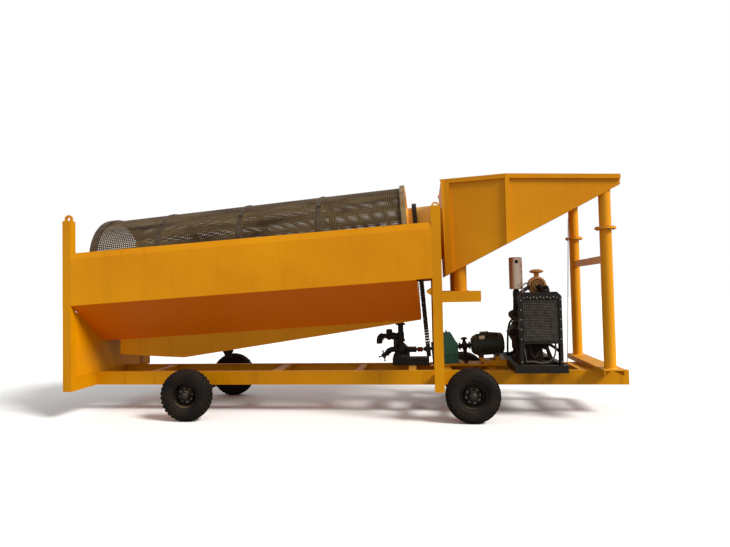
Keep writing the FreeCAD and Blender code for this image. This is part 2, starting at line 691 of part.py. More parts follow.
# Screen cylinder: one thin tube, its openings set in rings round every section
def drum_screen():
    wall = tube("screen_tube", "x", "ring_s0+10", "flange_s0", "0", "0", "screen_r",
                "screen_r-screen_t")
    parts = []
    for i, row in enumerate(SECTIONS):
        pitch = "((%(s1)s)-(%(s0)s))/hole_rows" % row
        for k in range(int(evaluate("hole_rows"))):
            mid = "((%s)+%s*%s)" % (row["s0"], pitch, k + 0.5)
            for n in range(int(evaluate("hole_n")) // 2):
                slot = box("hole_%d_%d_%d" % (i, k, n), ("-hole_l/2", "hole_l/2"),
                           ("-screen_r-20", "screen_r+20"), ("-hole_w/2", "hole_w/2"))
                holder = group("hole_g_%d_%d_%d" % (i, k, n), [slot])
                place(holder, x=mid, axis=(1, 0, 0), angle="360/hole_n*%s" % (n + 0.5))
                parts.append(holder)
    keep(to_drum(cut("drum_screen", wall, weld("drum_slots", parts))), "drum_screen")


def drum_rings():
    parts = [tube("ring_rear", "x", "ring_s0", "ring_s1", "0", "0", "ring_r", "screen_r"),
             tube("ring_a", "x", "band_a", "band_a+band_w", "0", "0", "band_r", "screen_r"),
             tube("ring_b", "x", "band_b", "band_b+band_w", "0", "0", "band_r", "screen_r"),
             tube("ring_c", "x", "band_c", "band_c+band_w", "0", "0", "band_r", "screen_r")]
    for part in parts:
        to_drum(part)
    keep(group("drum_rings", parts), "drum_rings")


# Front riding ring, closing disc and inlet neck of the drum
def drum_head():
    pts = [("flange_s0", "screen_r-80"), ("flange_s0", "flange_r"),
           ("flange_s1", "flange_r"), ("flange_s1", "screen_r-40"),
           ("flange_s1-30", "screen_r-60"), ("flange_s1-30", "neck_r"),
           ("neck_s1", "neck_r"), ("neck_s1", "neck_r-neck_t"),
           ("flange_s1-42", "neck_r-neck_t"), ("flange_s1-42", "screen_r-80")]
    keep(to_drum(turned("drum_head", pts)), "drum_head")


# Duplex sprocket: turned disc, one tooth repeated round it, and a groove between the rows
def sprocket(name, root, tip, teeth, bore, hub=""):
    body = doc.addObject("PartDesign::Body", name)
    a, b = "-wheel_w/2", "wheel_w/2"
    pts = [(a, root), (b, root), (b, bore), (a, bore)]
    sk = outline(body, "XY_Plane", pts)
    rev = body.newObject("PartDesign::Revolution", name + "_rev")
    rev.Profile = sk
    rev.ReferenceAxis = (sk, ["H_Axis"])
    rev.Angle = 360
    half = "(%s)*tan(180/%s)" % (root, teeth)
    tooth = body.newObject("Sketcher::SketchObject", name + "_tooth")
    face = [f for f in body.Origin.OriginFeatures if f.Role == "YZ_Plane"][0]
    tooth.AttachmentSupport = (face, "")
    tooth.MapMode = "FlatFace"
    pts = [("-0.62*" + half, "(%s)-2" % root), ("0.62*" + half, "(%s)-2" % root),
           ("0.3*" + half, tip), ("-0.3*" + half, tip)]
    lines(tooth, pts)
    pad = body.newObject("PartDesign::Pad", name + "_pad")
    pad.Profile = tooth
    pad.SideType = "Symmetric"
    bind(pad, "Length", "wheel_w-6")
    doc.recompute()
    pol = body.newObject("PartDesign::PolarPattern", name + "_pol")
    pol.Originals = [pad]
    pol.Axis = (sk, ["H_Axis"])
    pol.Angle = 360
    bind(pol, "Occurrences", teeth)
    gap = outline(body, "XY_Plane", [("-row_gap/2", "(%s)+5" % tip), ("row_gap/2", "(%s)+5" % tip),
                                     ("row_gap/2", "(%s)-8" % root),
                                     ("-row_gap/2", "(%s)-8" % root)])
    groove = body.newObject("PartDesign::Groove", name + "_groove")
    groove.Profile = gap
    groove.ReferenceAxis = (gap, ["H_Axis"])
    groove.Angle = 360
    body.Tip = groove
    return body


def drum_sprocket():
    wheel = sprocket("big_wheel", "big_root", "big_tip", "big_teeth", "neck_r")
    bind(wheel, "Placement.Base.x", "chain_s")
    keep(to_drum(group("drum_sprocket", [wheel])), "drum_sprocket")


def drive_sprocket():
    wheel = sprocket("small_wheel", "small_root", "small_tip", "small_teeth", "shaft_r")
    bind(wheel, "Placement.Base.x", "chain_s")
    bind(wheel, "Placement.Base.y", "drv_y")
    bind(wheel, "Placement.Base.z", "drv_n")
    shaft = turned_at("small_shaft", "x",
                      [("chain_s-90", "0"), ("chain_s-90", "18"), ("chain_s-50", "44"),
                       ("chain_s-wheel_w/2+1", "50"), ("chain_s-wheel_w/2+1", "shaft_r"),
                       ("red_s0-60", "shaft_r"), ("red_s0-40", "shaft_r"),
                       ("red_s0-40", "50"), ("red_s0-20.3", "50"), ("red_s0-20.3", "0")],
                      y="drv_y", z="drv_n")
    keep(to_drum(weld("drive_sprocket", [wheel, shaft])), "drive_sprocket")


# Chain: one closed band round both sprockets, its straight runs tangent to both arcs
def drive_chain():
    body = doc.addObject("PartDesign::Body", "chain_band")
    sk = body.newObject("Sketcher::SketchObject", "chain_sk")
    face = [f for f in body.Origin.OriginFeatures if f.Role == "YZ_Plane"][0]
    sk.AttachmentSupport = (face, "")
    sk.MapMode = "FlatFace"
    cy, cz = evaluate("drv_y"), evaluate("drv_n")
    dist = math.hypot(cy, cz)
    for extra in ("0", "chain_h"):
        big = "big_tip+chain_gap+%s" % extra
        small = "small_tip+chain_gap+%s" % extra
        rb, rs = evaluate(big), evaluate(small)
        lean = math.atan2(cz, cy)
        tilt = math.acos((rb - rs) / dist)
        a0, a1 = lean + tilt, lean - tilt + 2 * math.pi
        base = sk.GeometryCount
        upper = Part.Circle(V(0, 0, 0), V(0, 0, 1), rb)
        lower = Part.Circle(V(cy, cz, 0), V(0, 0, 1), rs)
        sk.addGeometry(Part.ArcOfCircle(upper, a0, a1), False)
        sk.addGeometry(Part.ArcOfCircle(lower, a1 - 2 * math.pi, a0), False)
        p0 = V(rb * math.cos(a0), rb * math.sin(a0), 0)
        q0 = V(cy + rs * math.cos(a0), cz + rs * math.sin(a0), 0)
        p1 = V(rb * math.cos(a1), rb * math.sin(a1), 0)
        q1 = V(cy + rs * math.cos(a1), cz + rs * math.sin(a1), 0)
        sk.addGeometry(Part.LineSegment(p1, q1), False)
        sk.addGeometry(Part.LineSegment(q0, p0), False)
        add = sk.addConstraint
        add(Sketcher.Constraint("Coincident", base, 3, -1, 1))
        for kind, text, value in (("DistanceX", "drv_y", cy), ("DistanceY", "drv_n", cz)):
            k = add(Sketcher.Constraint(kind, -1, 1, base + 1, 3, value))
            sk.setExpression("Constraints[%d]" % k, ex(text))
        add(Sketcher.Constraint("Tangent", base, 2, base + 2, 1))
        add(Sketcher.Constraint("Tangent", base + 2, 2, base + 1, 1))
        add(Sketcher.Constraint("Tangent", base + 1, 2, base + 3, 1))
        add(Sketcher.Constraint("Tangent", base + 3, 2, base, 1))
        for i, text, value in ((base, big, rb), (base + 1, small, rs)):
            k = add(Sketcher.Constraint("Radius", i, value))
            sk.setExpression("Constraints[%d]" % k, ex(text))
    pad = body.newObject("PartDesign::Pad", "chain_pad")
    pad.Profile = sk
    pad.SideType = "Symmetric"
    bind(pad, "Length", "chain_w")
    bind(body, "Placement.Base.x", "chain_s")
    keep(to_drum(group("drive_chain", [body])), "drive_chain")


# Fixed axle beams with spindles, seated under the rails on packers
AXLES = [("rear", "wheel_x0"), ("front", "wheel_x1")]


def axle_beams():
    parts = []
    for end, x in AXLES:
        half = "axle_w/2"
        bar = box("axle_%s_b" % end, ("%s-%s" % (x, half), "%s+%s" % (x, half)),
                  ("-axle_y", "axle_y"), ("tyre_r-" + half, "tyre_r+" + half))
        pin = rod("axle_%s_s" % end, "y", "-(tyre_y+40)", "tyre_y+40", x, "tyre_r", "spin_r")
        pads = []
        for tag, s in SIDES:
            pads.append(box("axle_%s_%s" % (end, tag), (x + "-110", x + "+110"),
                            side(s, "rail_y-rail_fl", "rail_y"),
                            ("tyre_r+" + half, "rail_z")))
        parts.append(weld("axle_" + end, [bar, pin] + pads))
    keep(group("axle_beams", parts), "axle_beams")


# Wheels: name, axle station, side
WHEELS = [("rear_near", "wheel_x0", -1), ("rear_far", "wheel_x0", 1),
          ("front_near", "wheel_x1", -1), ("front_far", "wheel_x1", 1)]


def wheels():
    half, bead = "tyre_w/2", "bead_r"
    tyre = [("-0.42*tyre_w", bead), ("-0.5*tyre_w", "bead_r+0.3*(tyre_r-bead_r)"),
            ("-0.5*tyre_w", "bead_r+0.62*(tyre_r-bead_r)"), ("-0.47*tyre_w", "tyre_r-26"),
            ("-0.4*tyre_w", "tyre_r-6"), ("-0.3*tyre_w", "tyre_r"), ("0.3*tyre_w", "tyre_r"),
            ("0.4*tyre_w", "tyre_r-6"), ("0.47*tyre_w", "tyre_r-26"),
            ("0.5*tyre_w", "bead_r+0.62*(tyre_r-bead_r)"),
            ("0.5*tyre_w", "bead_r+0.3*(tyre_r-bead_r)"), ("0.42*tyre_w", bead)]
    rim = [("-0.42*tyre_w", bead), ("0.42*tyre_w", bead), ("0.42*tyre_w", "bead_r-14"),
           ("0.3*tyre_w", "bead_r-24"), ("-0.05*tyre_w", "bead_r-26"),
           ("-0.05*tyre_w", "bead_r-60"), ("0.12*tyre_w", "bead_r-85"),
           ("0.12*tyre_w", "hub_r"), ("0.42*tyre_w", "hub_r-8"),
           ("0.42*tyre_w", "spin_r+0.05"), ("-0.55*tyre_w", "spin_r+0.05"),
           ("-0.55*tyre_w", "hub_r"), ("0.06*tyre_w", "hub_r"),
           ("0.06*tyre_w", "bead_r-90"), ("-0.11*tyre_w", "bead_r-64"),
           ("-0.11*tyre_w", "bead_r-26"), ("-0.3*tyre_w", "bead_r-24"),
           ("-0.42*tyre_w", "bead_r-14")]
    for name, x, s in WHEELS:
        for kind, pts in (("tyre", tyre), ("rim", rim)):
            body = turned("%s_%s_t" % (kind, name), pts)
            obj = group("%s_%s" % (kind, name), [body])
            place(obj, x=x, y="%d*tyre_y" % s, z="tyre_r", axis=(0, 0, 1),
                  angle="%d*90" % s)
            keep(obj, "%s_%s" % (kind, name))


def hopper_z(x, up="0"):
    return ("hop_zlow+((%s)-hop_x0)*(hop_zlip-hop_zlow)/(hop_x1-hop_x0)+%s" % (x, up))


# Feed hopper: open-topped chute, its floor falls to the rear wall and narrows there
def feed_hopper():
    parts = []
    hull = prism("hop_hull", "XZ_Plane",
                 [("hop_x0", "hop_zlow"), ("hop_x1", "hop_zlip"), ("hop_x1", "hop_zend"),
                  ("hop_fold", "hop_ztop"), ("hop_x0-40", "hop_ztop")], "-hop_y", "hop_y")
    inner = prism("hop_void", "XZ_Plane",
                  [("hop_x0+hop_t", "hop_zlow+14"), ("hop_x1+50", hopper_z("hop_x1+50", "10")),
                   ("hop_x1+50", "hop_ztop+90"), ("hop_x0+hop_t-40", "hop_ztop+90")],
                  "-2000", "2000")
    plan_o = plan("hop_plan_o", "0")
    plan_i = plan("hop_plan_i", "hop_t")
    shell = common("hop_outer", hull, plan_o)
    cave = common("hop_inner", inner, plan_i)
    bowl = cut("hop_bowl", shell, cave)
    spout = rod("hop_spout_cut", "x", "hop_x0-200", "hop_x0+120", "0",
                "drum_z+hop_x0*tan(drum_tilt)", "spout_r-10")
    bowl2 = cut("hop_body", bowl, spout)
    pipe = tube("hop_pipe", "x", "hop_x0-190", "hop_x0-8", "0",
                "drum_z+hop_x0*tan(drum_tilt)", "spout_r", "spout_r-10")
    keep(weld("feed_hopper", [bowl2, pipe]), "feed_hopper")


def plan(name, inset):
    pts = [("hop_x0-60", "-hop_yn+" + inset), ("hop_x0", "-hop_yn+" + inset),
           ("hop_fold", "-hop_y+" + inset), ("hop_x1+60", "-hop_y+" + inset),
           ("hop_x1+60", "hop_y-" + inset), ("hop_fold", "hop_y-" + inset),
           ("hop_x0", "hop_yn-" + inset), ("hop_x0-60", "hop_yn-" + inset)]
    return prism(name, "XY_Plane", pts, "1000", "5000")


# Rim strip round the top of the hopper walls and upright stiffeners on the sides
def hopper_rim():
    band = prism("rim_band", "XZ_Plane",
                 [("hop_x0-60", "hop_ztop"), ("hop_fold", "hop_ztop"), ("hop_x1", "hop_zend"),
                  ("hop_x1", "hop_zend-rim_h"), ("hop_fold", "hop_ztop-rim_h"),
                  ("hop_x0+rear_w-20", "hop_ztop-rim_h"),
                  ("hop_x0+rear_w", hopper_z("hop_x0+rear_w")), ("hop_x0", "hop_zlow"),
                  ("hop_x0-40", "hop_ztop-rim_h")], "-2000", "2000")
    parts = []
    for tag, s in SIDES:
        lo, hi = side(s, "hop_y-1", "hop_y+rim_w")
        parts.append(prism("stiff_" + tag, "XZ_Plane",
                           [("hop_fold-10", "hop_ztop-20"), ("hop_fold+55", "hop_ztop-20"),
                            ("hop_fold+55", hopper_z("hop_fold+55")),
                            ("hop_fold-10", hopper_z("hop_fold-10"))], lo, hi))
    solid = weld("rim_raw", [common("rim_strip", band, plan("rim_plan_o", "-rim_w"))] + parts)
    keep(cut("hopper_rim", solid, plan("rim_plan_i", "0")), "hopper_rim")


def hopper_arms():
    z = ("arm_z", "arm_z+arm_h")
    arms = []
    for tag, s in SIDES:
        arms.append(box("arm_" + tag, ("post_mid_x+post_l", "arm_x1"),
                        side(s, "wid_h-post_w", "wid_h"), z))
    arms.append(box("arm_cross", ("stub_x-90", "stub_x+90"),
                    ("-(wid_h-post_w)", "wid_h-post_w"), z))
    arms.append(box("arm_tie", ("post_mid_x", "post_mid_x+post_l"),
                    ("-(wid_h-post_w)", "wid_h-post_w"), z))
    for tag, s in SIDES:
        pipe = rod("stub_p_" + tag, "z", "arm_z+arm_h", hopper_z("stub_x+stub_r"), "stub_x",
                   "%d*stub_y" % s, "stub_r")
        top = prism("stub_c_" + tag, "XZ_Plane",
                    [("hop_x0", "1000"), ("hop_x1", "1000"), ("hop_x1", "hop_zlip"),
                     ("hop_x0", "hop_zlow")], "-2000", "2000")
        arms.append(common("stub_" + tag, pipe, top))
    keep(weld("hopper_arms", arms), "hopper_arms")


def hopper_legs():
    parts = []
    for tag, s in SIDES:
        y = "%d*leg_y" % s
        pipe = rod("leg_p_" + tag, "z", TOP + "+base_h", hopper_z("leg_x+leg_r"), "leg_x", y,
                   "leg_r")
        top = prism("leg_c_" + tag, "XZ_Plane",
                    [("hop_x0", "600"), ("hop_x1", "600"), ("hop_x1", "hop_zlip"),
                     ("hop_x0", "hop_zlow")], "-2000", "2000")
        parts.append(common("leg_" + tag, pipe, top))
        parts.append(rod("leg_f_" + tag, "z", "leg_fz-16", "leg_fz+16", "leg_x", y,
                         "leg_fr"))
    parts.append(box("leg_bar", ("leg_x-30", "leg_x+30"), ("-leg_y", "leg_y"),
                     ("bar_z-bar_h/2", "bar_z+bar_h/2")))
    keep(weld("hopper_legs", parts), "hopper_legs")


# Channel across the rails with its web up, under the hopper legs
def leg_base():
    low, up = TOP, TOP + "+base_h"
    pts = [("leg_x-base_w/2", low), ("leg_x-base_w/2", up), ("leg_x+base_w/2", up),
           ("leg_x+base_w/2", low), ("leg_x+base_w/2-base_t", low),
           ("leg_x+base_w/2-base_t", up + "-base_t"), ("leg_x-base_w/2+base_t", up + "-base_t"),
           ("leg_x-base_w/2+base_t", low)]
    keep(prism("leg_base_c", "XZ_Plane", pts, "-base_y", "base_y"), "leg_base")


BASE = "(rail_z+rail_h+gen_h)"
# Cross bars of the diesel set base, from the near end to the far end
BARS = table("tag y", ("near", "gen_y0"), ("front", "eng_y0+180"), ("rear", "eng_y1+50"),
             ("far", "gen_y1-gen_w"))


def genset_base():
    y = ("gen_y0", "gen_y1")
    z = (TOP, TOP + "+gen_h")
    parts = [box("gb_left", ("gen_x0", "gen_x0+gen_w"), y, z),
             box("gb_right", ("gen_x1-gen_w", "gen_x1"), y, z)]
    for row in BARS:
        parts.append(box("gb_" + row["tag"], ("gen_x0+gen_w", "gen_x1-gen_w"),
                         (row["y"], row["y"] + "+gen_w"), z))
    keep(weld("genset_base", parts), "genset_base")


# Engine block: crankcase section drawn across the crankshaft, oil pan below it,
# flywheel housing behind it and a bracket on each side
def engine_block():
    case = prism("eng_case", "XZ_Plane",
                 mirrored([("sump_w", "eng_z-130"), ("eng_w", "eng_z-95"),
                           ("eng_w", "eng_z+60"), ("eng_wt", "eng_z+110"),
                           ("eng_wt", "eng_z+eng_up")], "eng_x"), "eng_y0", "eng_y1")
    pan = prism("eng_pan", "XZ_Plane",
                mirrored([("sump_w-45", BASE + "+sump_up"), ("sump_w-15", BASE + "+sump_up+40"),
                          ("sump_w-15", "eng_z-148"), ("sump_w+12", "eng_z-148"),
                          ("sump_w+12", "eng_z-129")], "eng_x"),
                "eng_y0+30", "eng_y1-30")
    bell = turned_at("eng_bell", "y",
                     [("eng_y1-1", "0"), ("eng_y1-1", "bell_r-60"), ("eng_y1+25", "bell_r"),
                      ("eng_y1+bell_l", "bell_r"), ("eng_y1+bell_l", "0")],
                     x="eng_x", z="eng_z")
    crank = turned_at("eng_pulley", "y",
                      [("eng_y0-45", "0"), ("eng_y0-45", "88"), ("eng_y0-34", "88"),
                       ("eng_y0-27", "76"), ("eng_y0-20", "88"), ("eng_y0-9", "88"),
                       ("eng_y0-9", "60"), ("eng_y0+1", "60"), ("eng_y0+1", "0")],
                      x="eng_x", z="eng_z")
    parts = [case, pan, bell, crank]
    for tag, k in (("l", "-1"), ("r", "1")):
        pts = [("eng_w-1", "eng_z+20"), ("eng_w-1", "eng_z-80"), ("gen_w*2.6+40", BASE + "+16"),
               ("gen_w*2.6+40", BASE), ("310", BASE), ("310", BASE + "+16")]
        pts = [("eng_x+%s*(%s)" % (k, a), b) for a, b in pts]
        parts.append(prism("eng_foot_" + tag, "XZ_Plane", pts, "eng_y0+180",
                           "eng_y0+180+gen_w"))
    keep(weld("engine_block", parts), "engine_block")


# Cylinder head, one rocker cover for each cylinder, and the exhaust manifold
def engine_head():
    top = "eng_z+eng_up"
    head = prism("head_b", "XZ_Plane",
                 mirrored([("head_w-12", top), ("head_w", top + "+12"),
                           ("head_w", top + "+head_h-10"), ("head_w-10", top + "+head_h")],
                          "eng_x"), "eng_y0+20", "eng_y1-20")
    parts = [head]
    pitch = "((eng_y1-eng_y0-40)/cyl_n)"
    for i in range(int(evaluate("cyl_n"))):
        y = "(eng_y0+20+%s*%d)" % (pitch, i)
        parts.append(prism("rocker_%d" % i, "XZ_Plane",
                           mirrored([("86", top + "+head_h-1"), ("86", top + "+head_h+55"),
                                     ("62", top + "+head_h+cover_h")], "eng_x"),
                           y + "+9", y + "+%s-9" % pitch))
        parts.append(rod("port_%d" % i, "x", "eng_x-mani_x", "eng_x-head_w+1",
                         y + "+%s/2" % pitch, top + "+75", "30"))
    parts.append(turned_at("manifold", "y",
                           [("eng_y0+40", "0"), ("eng_y0+40", "mani_r-12"),
                            ("eng_y0+52", "mani_r"), ("eng_y1-52", "mani_r"),
                            ("eng_y1-40", "mani_r-12"), ("eng_y1-40", "0")],
                           x="eng_x-mani_x", z=top + "+75"))
    parts.append(turned_at("outlet", "z",
                           [(top + "+75", "0"), (top + "+75", "32"), (top + "+126", "32"),
                            (top + "+126", "56"), (top + "+140", "56"), (top + "+140", "0")],
                           x="muf_x", y="muf_y"))
    keep(weld("engine_head", parts), "engine_head")


# Generator: turned barrel with end bells, feet on the base and a terminal box on top
def generator():
    y0 = "eng_y1+bell_l"
    barrel = turned_at("gen_barrel", "y",
                       [(y0, "0"), (y0, "bell_r"), (y0 + "+28", "bell_r"),
                        (y0 + "+44", "alt_r-8"), (y0 + "+110", "alt_r-8"),
                        (y0 + "+116", "alt_r"), ("alt_y1-130", "alt_r"),
                        ("alt_y1-124", "alt_r-8"), ("alt_y1", "alt_r-16"),
                        ("alt_y1+alt_end*0.6", "alt_r-50"), ("alt_y1+alt_end", "alt_r-110"),
                        ("alt_y1+alt_end", "0")], x="eng_x", z="eng_z")
    parts = [barrel]
    for tag, y in (("a", y0 + "+80"), ("b", "alt_y1-140")):
        parts.append(prism("gen_foot_" + tag, "XZ_Plane",
                           mirrored([("205", BASE), ("205", BASE + "+18"),
                                     ("150", BASE + "+40"), ("120", "eng_z-150")], "eng_x"),
                           y, y + "+70"))
    parts.append(prism("gen_box", "XZ_Plane",
                       mirrored([("120", "eng_z+alt_r-45"), ("160", "eng_z+alt_r-5"),
                                 ("160", "eng_z+alt_r+140"), ("130", "eng_z+alt_r+172")],
                                "eng_x"), y0 + "+100", y0 + "+430"))
    keep(weld("generator", parts), "generator")


# Radiator: finned core in a frame with a bevelled top tank, filler cap and fan shroud
def radiator():
    y0, y1 = "rad_y", "rad_y+rad_d"
    core = box("rad_core_b", ("rad_x0+post_t", "rad_x1-post_t"), (y0 + "+20", y1 + "-20"),
               ("rad_z0+30", "rad_z1-30"))
    keep(core, "radiator_core")
    wide = ("rad_x0+post_t", "rad_x1-post_t")
    parts = [box("rf_l", ("rad_x0", "rad_x0+post_t"), (y0, y1), (BASE, "rad_z1")),
             box("rf_r", ("rad_x1-post_t", "rad_x1"), (y0, y1), (BASE, "rad_z1")),
             box("rf_b", wide, (y0, y1), ("rad_z0", "rad_z0+30")),
             box("rf_t", wide, (y0, y1), ("rad_z1-30", "rad_z1"))]
    parts.append(prism("rf_tank", "XZ_Plane",
                       [("rad_x0+4", "rad_z1-1"), ("rad_x0+4", "rad_z1+10"),
                        ("rad_x0+66", "rad_z1+tank_h"), ("rad_x1-66", "rad_z1+tank_h"),
                        ("rad_x1-4", "rad_z1+10"), ("rad_x1-4", "rad_z1-1")],
                       y0 + "+4", y1 + "-4"))
    top = "rad_z1+tank_h"
    parts.append(turned_at("rf_cap", "z",
                           [(top + "-1", "0"), (top + "-1", "30"), (top + "+14", "30"),
                            (top + "+14", "42"), (top + "+34", "42"), (top + "+38", "30"),
                            (top + "+38", "0")], x="rad_x1-230", y="rad_y+rad_d/2"))
    sheet_b = box("rf_sheet", ("rad_x0+post_t-1", "rad_x1-post_t+1"), (y1 + "-5", y1),
                  ("rad_z0+29", "rad_z1-29"))
    hole = rod("rf_hole", "y", y1 + "-10", y1 + "+10", "eng_x", "eng_z+fan_up", "fan_r+18")
    ring = tube("rf_ring", "y", y1 + "-5", "fan_y+22", "eng_x", "eng_z+fan_up",
                "fan_r+24", "fan_r+18")
    parts.append(weld("rf_shroud", [cut("rf_face", sheet_b, hole), ring]))
    keep(weld("radiator_frame", parts), "radiator_frame")


# Fan: turned hub and shaft with blades set round it, each blade pitched
def fan():
    hub = turned_at("fan_hub_b", "y",
                    [("-30", "0"), ("-30", "fan_hub-30"), ("-22", "fan_hub"),
                     ("22", "fan_hub"), ("22", "34"), ("44", "34"), ("44", "20"),
                     ("eng_y0-fan_y-0.3", "20"), ("eng_y0-fan_y-0.3", "0")])
    parts = [hub]
    blade = box("blade", ("-48", "48"), ("-3", "3"), ("fan_hub-14", "fan_r"))
    count = int(evaluate("fan_n"))
    for i in range(count):
        turn = FreeCAD.Rotation(V(0, 1, 0), 360 / count * i) * FreeCAD.Rotation(V(0, 0, 1), 26)
        holder = group("blade_g_%d" % i, [blade])
        holder.Placement = FreeCAD.Placement(V(0, 0, 0), turn)
        parts.append(holder)
    keep(place(weld("cooling_fan", parts), x="eng_x", y="fan_y", z="eng_z+fan_up"),
         "cooling_fan")


# Muffler: exhaust pipe with its flange, and a can with a side outlet near the top
def muffler():
    z = "eng_z+eng_up+140.3"
    can = turned_at("muf_can", "z",
                    [(z, "0"), (z, "56"), (z + "+13", "56"), (z + "+13", "32"),
                     ("muf_z0", "32"), ("muf_z0", "muf_r-14"), ("muf_z0+8", "muf_r"),
                     ("muf_z1-8", "muf_r"), ("muf_z1", "muf_r-14"), ("muf_z1", "0")],
                    x="muf_x", y="muf_y")
    hole = rod("muf_hole", "y", "muf_y-muf_r-5", "muf_y-muf_r+60", "muf_x", "muf_z1-72",
               "28")
    keep(cut("muffler", can, hole), "muffler")


# Air cleaner: oil bath bowl lying across the engine, neck and mushroom cap, stand pipe
def air_cleaner():
    bowl = turned_at("ac_bowl", "y",
                     [("-air_l", "0"), ("-air_l", "air_r-34"), ("-air_l+10", "air_r-8"),
                      ("-air_l+24", "air_r"), ("air_l-24", "air_r"), ("air_l-10", "air_r-8"),
                      ("air_l", "air_r-34"), ("air_l", "0")],
                     x="air_x", y="air_y", z="air_z")
    cap = turned_at("ac_cap", "z",
                    [("air_z+100", "0"), ("air_z+100", "40"), ("air_top-62", "40"),
                     ("air_top-62", "70"), ("air_top-40", "112"), ("air_top-30", "112"),
                     ("air_top-8", "78"), ("air_top", "40"), ("air_top", "0")],
                    x="air_x", y="air_y")
    leg = rod("ac_leg", "z", "eng_z+eng_up+head_h+0.3", "air_z-100", "eng_x+114", "air_y",
              "25")
    bridge = box("ac_saddle", ("air_x-60", "air_x+70"), ("air_y-40", "air_y+40"),
                 ("air_z-150", "air_z-118"))
    keep(weld("air_cleaner", [bowl, cap, leg, bridge]), "air_cleaner")


# Relative height over the drive line, in the frame of the drum
def over_line(up):
    return "(drv_n+(%s))" % up


# Top of the drive base over a station of the frame; it slopes with the drive line
def deck(x):
    return along_drum(x, "(drv_n-red_h)")


# Bars of the drive base along the frame: near and far side of each
DRIVE_BARS = table("tag y0 y1", ("near", "drv_y-drv_w", "drv_y-drv_w+drv_b"),
                   ("far", "drv_y+drv_w-drv_b", "drv_y+drv_w"))
# Its cross ties: start and end along the frame
TIES = table("tag x0 x1", ("rear", "drv_x0", "drv_x0+110"),
             ("gear", "waist_x0-120", "waist_x0-10"),
             ("motor", "waist_x1+10", "waist_x1+120"), ("front", "drv_x1-110", "drv_x1"))
# Slide rails under the motor feet: stations along the drum axis
SLIDES = table("tag s", ("rear", "mot_s0+120"), ("front", "mot_s1-170"))


def drive_base():
    parts = []
    low = TOP + "+waist_h"
    for row in DRIVE_BARS:
        pts = [("drv_x0", TOP), ("drv_x1", TOP), ("drv_x1", deck("drv_x1")),
               ("waist_x1", deck("waist_x1")), ("waist_x1", low), ("waist_x0", low),
               ("waist_x0", deck("waist_x0")), ("drv_x0", deck("drv_x0"))]
        parts.append(prism("db_" + row["tag"], "XZ_Plane", pts, row["y0"], row["y1"]))
    for row in TIES:
        pts = [(row["x0"], TOP), (row["x1"], TOP), (row["x1"], deck(row["x1"])),
               (row["x0"], deck(row["x0"]))]
        parts.append(prism("db_" + row["tag"], "XZ_Plane", pts, "drv_y-drv_w",
                           "drv_y+drv_w"))
    parts.append(box("db_seat", ("waist_x0-20", "waist_x1+20"), ("drv_y-70", "drv_y+70"),
                     (TOP, low)))
    slides = [box("db_slide_" + row["tag"], (row["s"], row["s"] + "+60"),
                  ("drv_y-drv_w+10", "drv_y+drv_w-10"),
                  (over_line("-red_h-2"), over_line("-mot_h"))) for row in SLIDES]
    parts.append(to_drum(group("db_slides", slides)))
    keep(weld("drive_base", parts), "drive_base")


# Gear reducer: case drawn along the drive line with its sloping shoulders, foot flange,
# split flange, inspection lid and upright ribs
def gear_reducer():
    case = prism("gr_case", "XZ_Plane",
                 [("red_s0", over_line("-red_h")), ("red_s0", over_line("red_up-145")),
                  ("red_s0+80", over_line("red_up")), ("red_s1-88", over_line("red_up")),
                  ("red_s1-8", over_line("red_up-165")), ("red_s1-8", over_line("-red_h"))],
                 "drv_y-red_w", "drv_y+red_w")
    foot = box("gr_foot", ("red_s0-8", "red_s1+10"), ("drv_y-red_w-34", "drv_y+red_w+34"),
               (over_line("-red_h"), over_line("24-red_h")))
    split = box("gr_split", ("red_s0-8", "red_s1+10"), ("drv_y-red_w-20", "drv_y+red_w+20"),
                (over_line("-106"), over_line("-78")))
    lid = box("gr_lid", ("red_s0+95", "red_s1-103"), ("drv_y-90", "drv_y+90"),
              (over_line("red_up-1"), over_line("red_up+12")))
    boss = turned_at("gr_boss", "x",
                     [("red_s0-20", "0"), ("red_s0-20", "50"), ("red_s0-8", "74"),
                      ("red_s1+8", "74"), ("red_s1+15", "50"), ("red_s1+15", "0")],
                     y="drv_y", z="drv_n")
    parts = [case, foot, split, lid, boss]
    for i in range(3):
        s = "(red_s0+30+(red_s1-red_s0-92)/2*%d)" % i
        parts.append(box("gr_rib_%d" % i, (s, s + "+14"),
                         ("drv_y-red_w-16", "drv_y+red_w+16"),
                         (over_line("20-red_h"), over_line("-100"))))
    keep(to_drum(weld("gear_reducer", parts)), "gear_reducer")


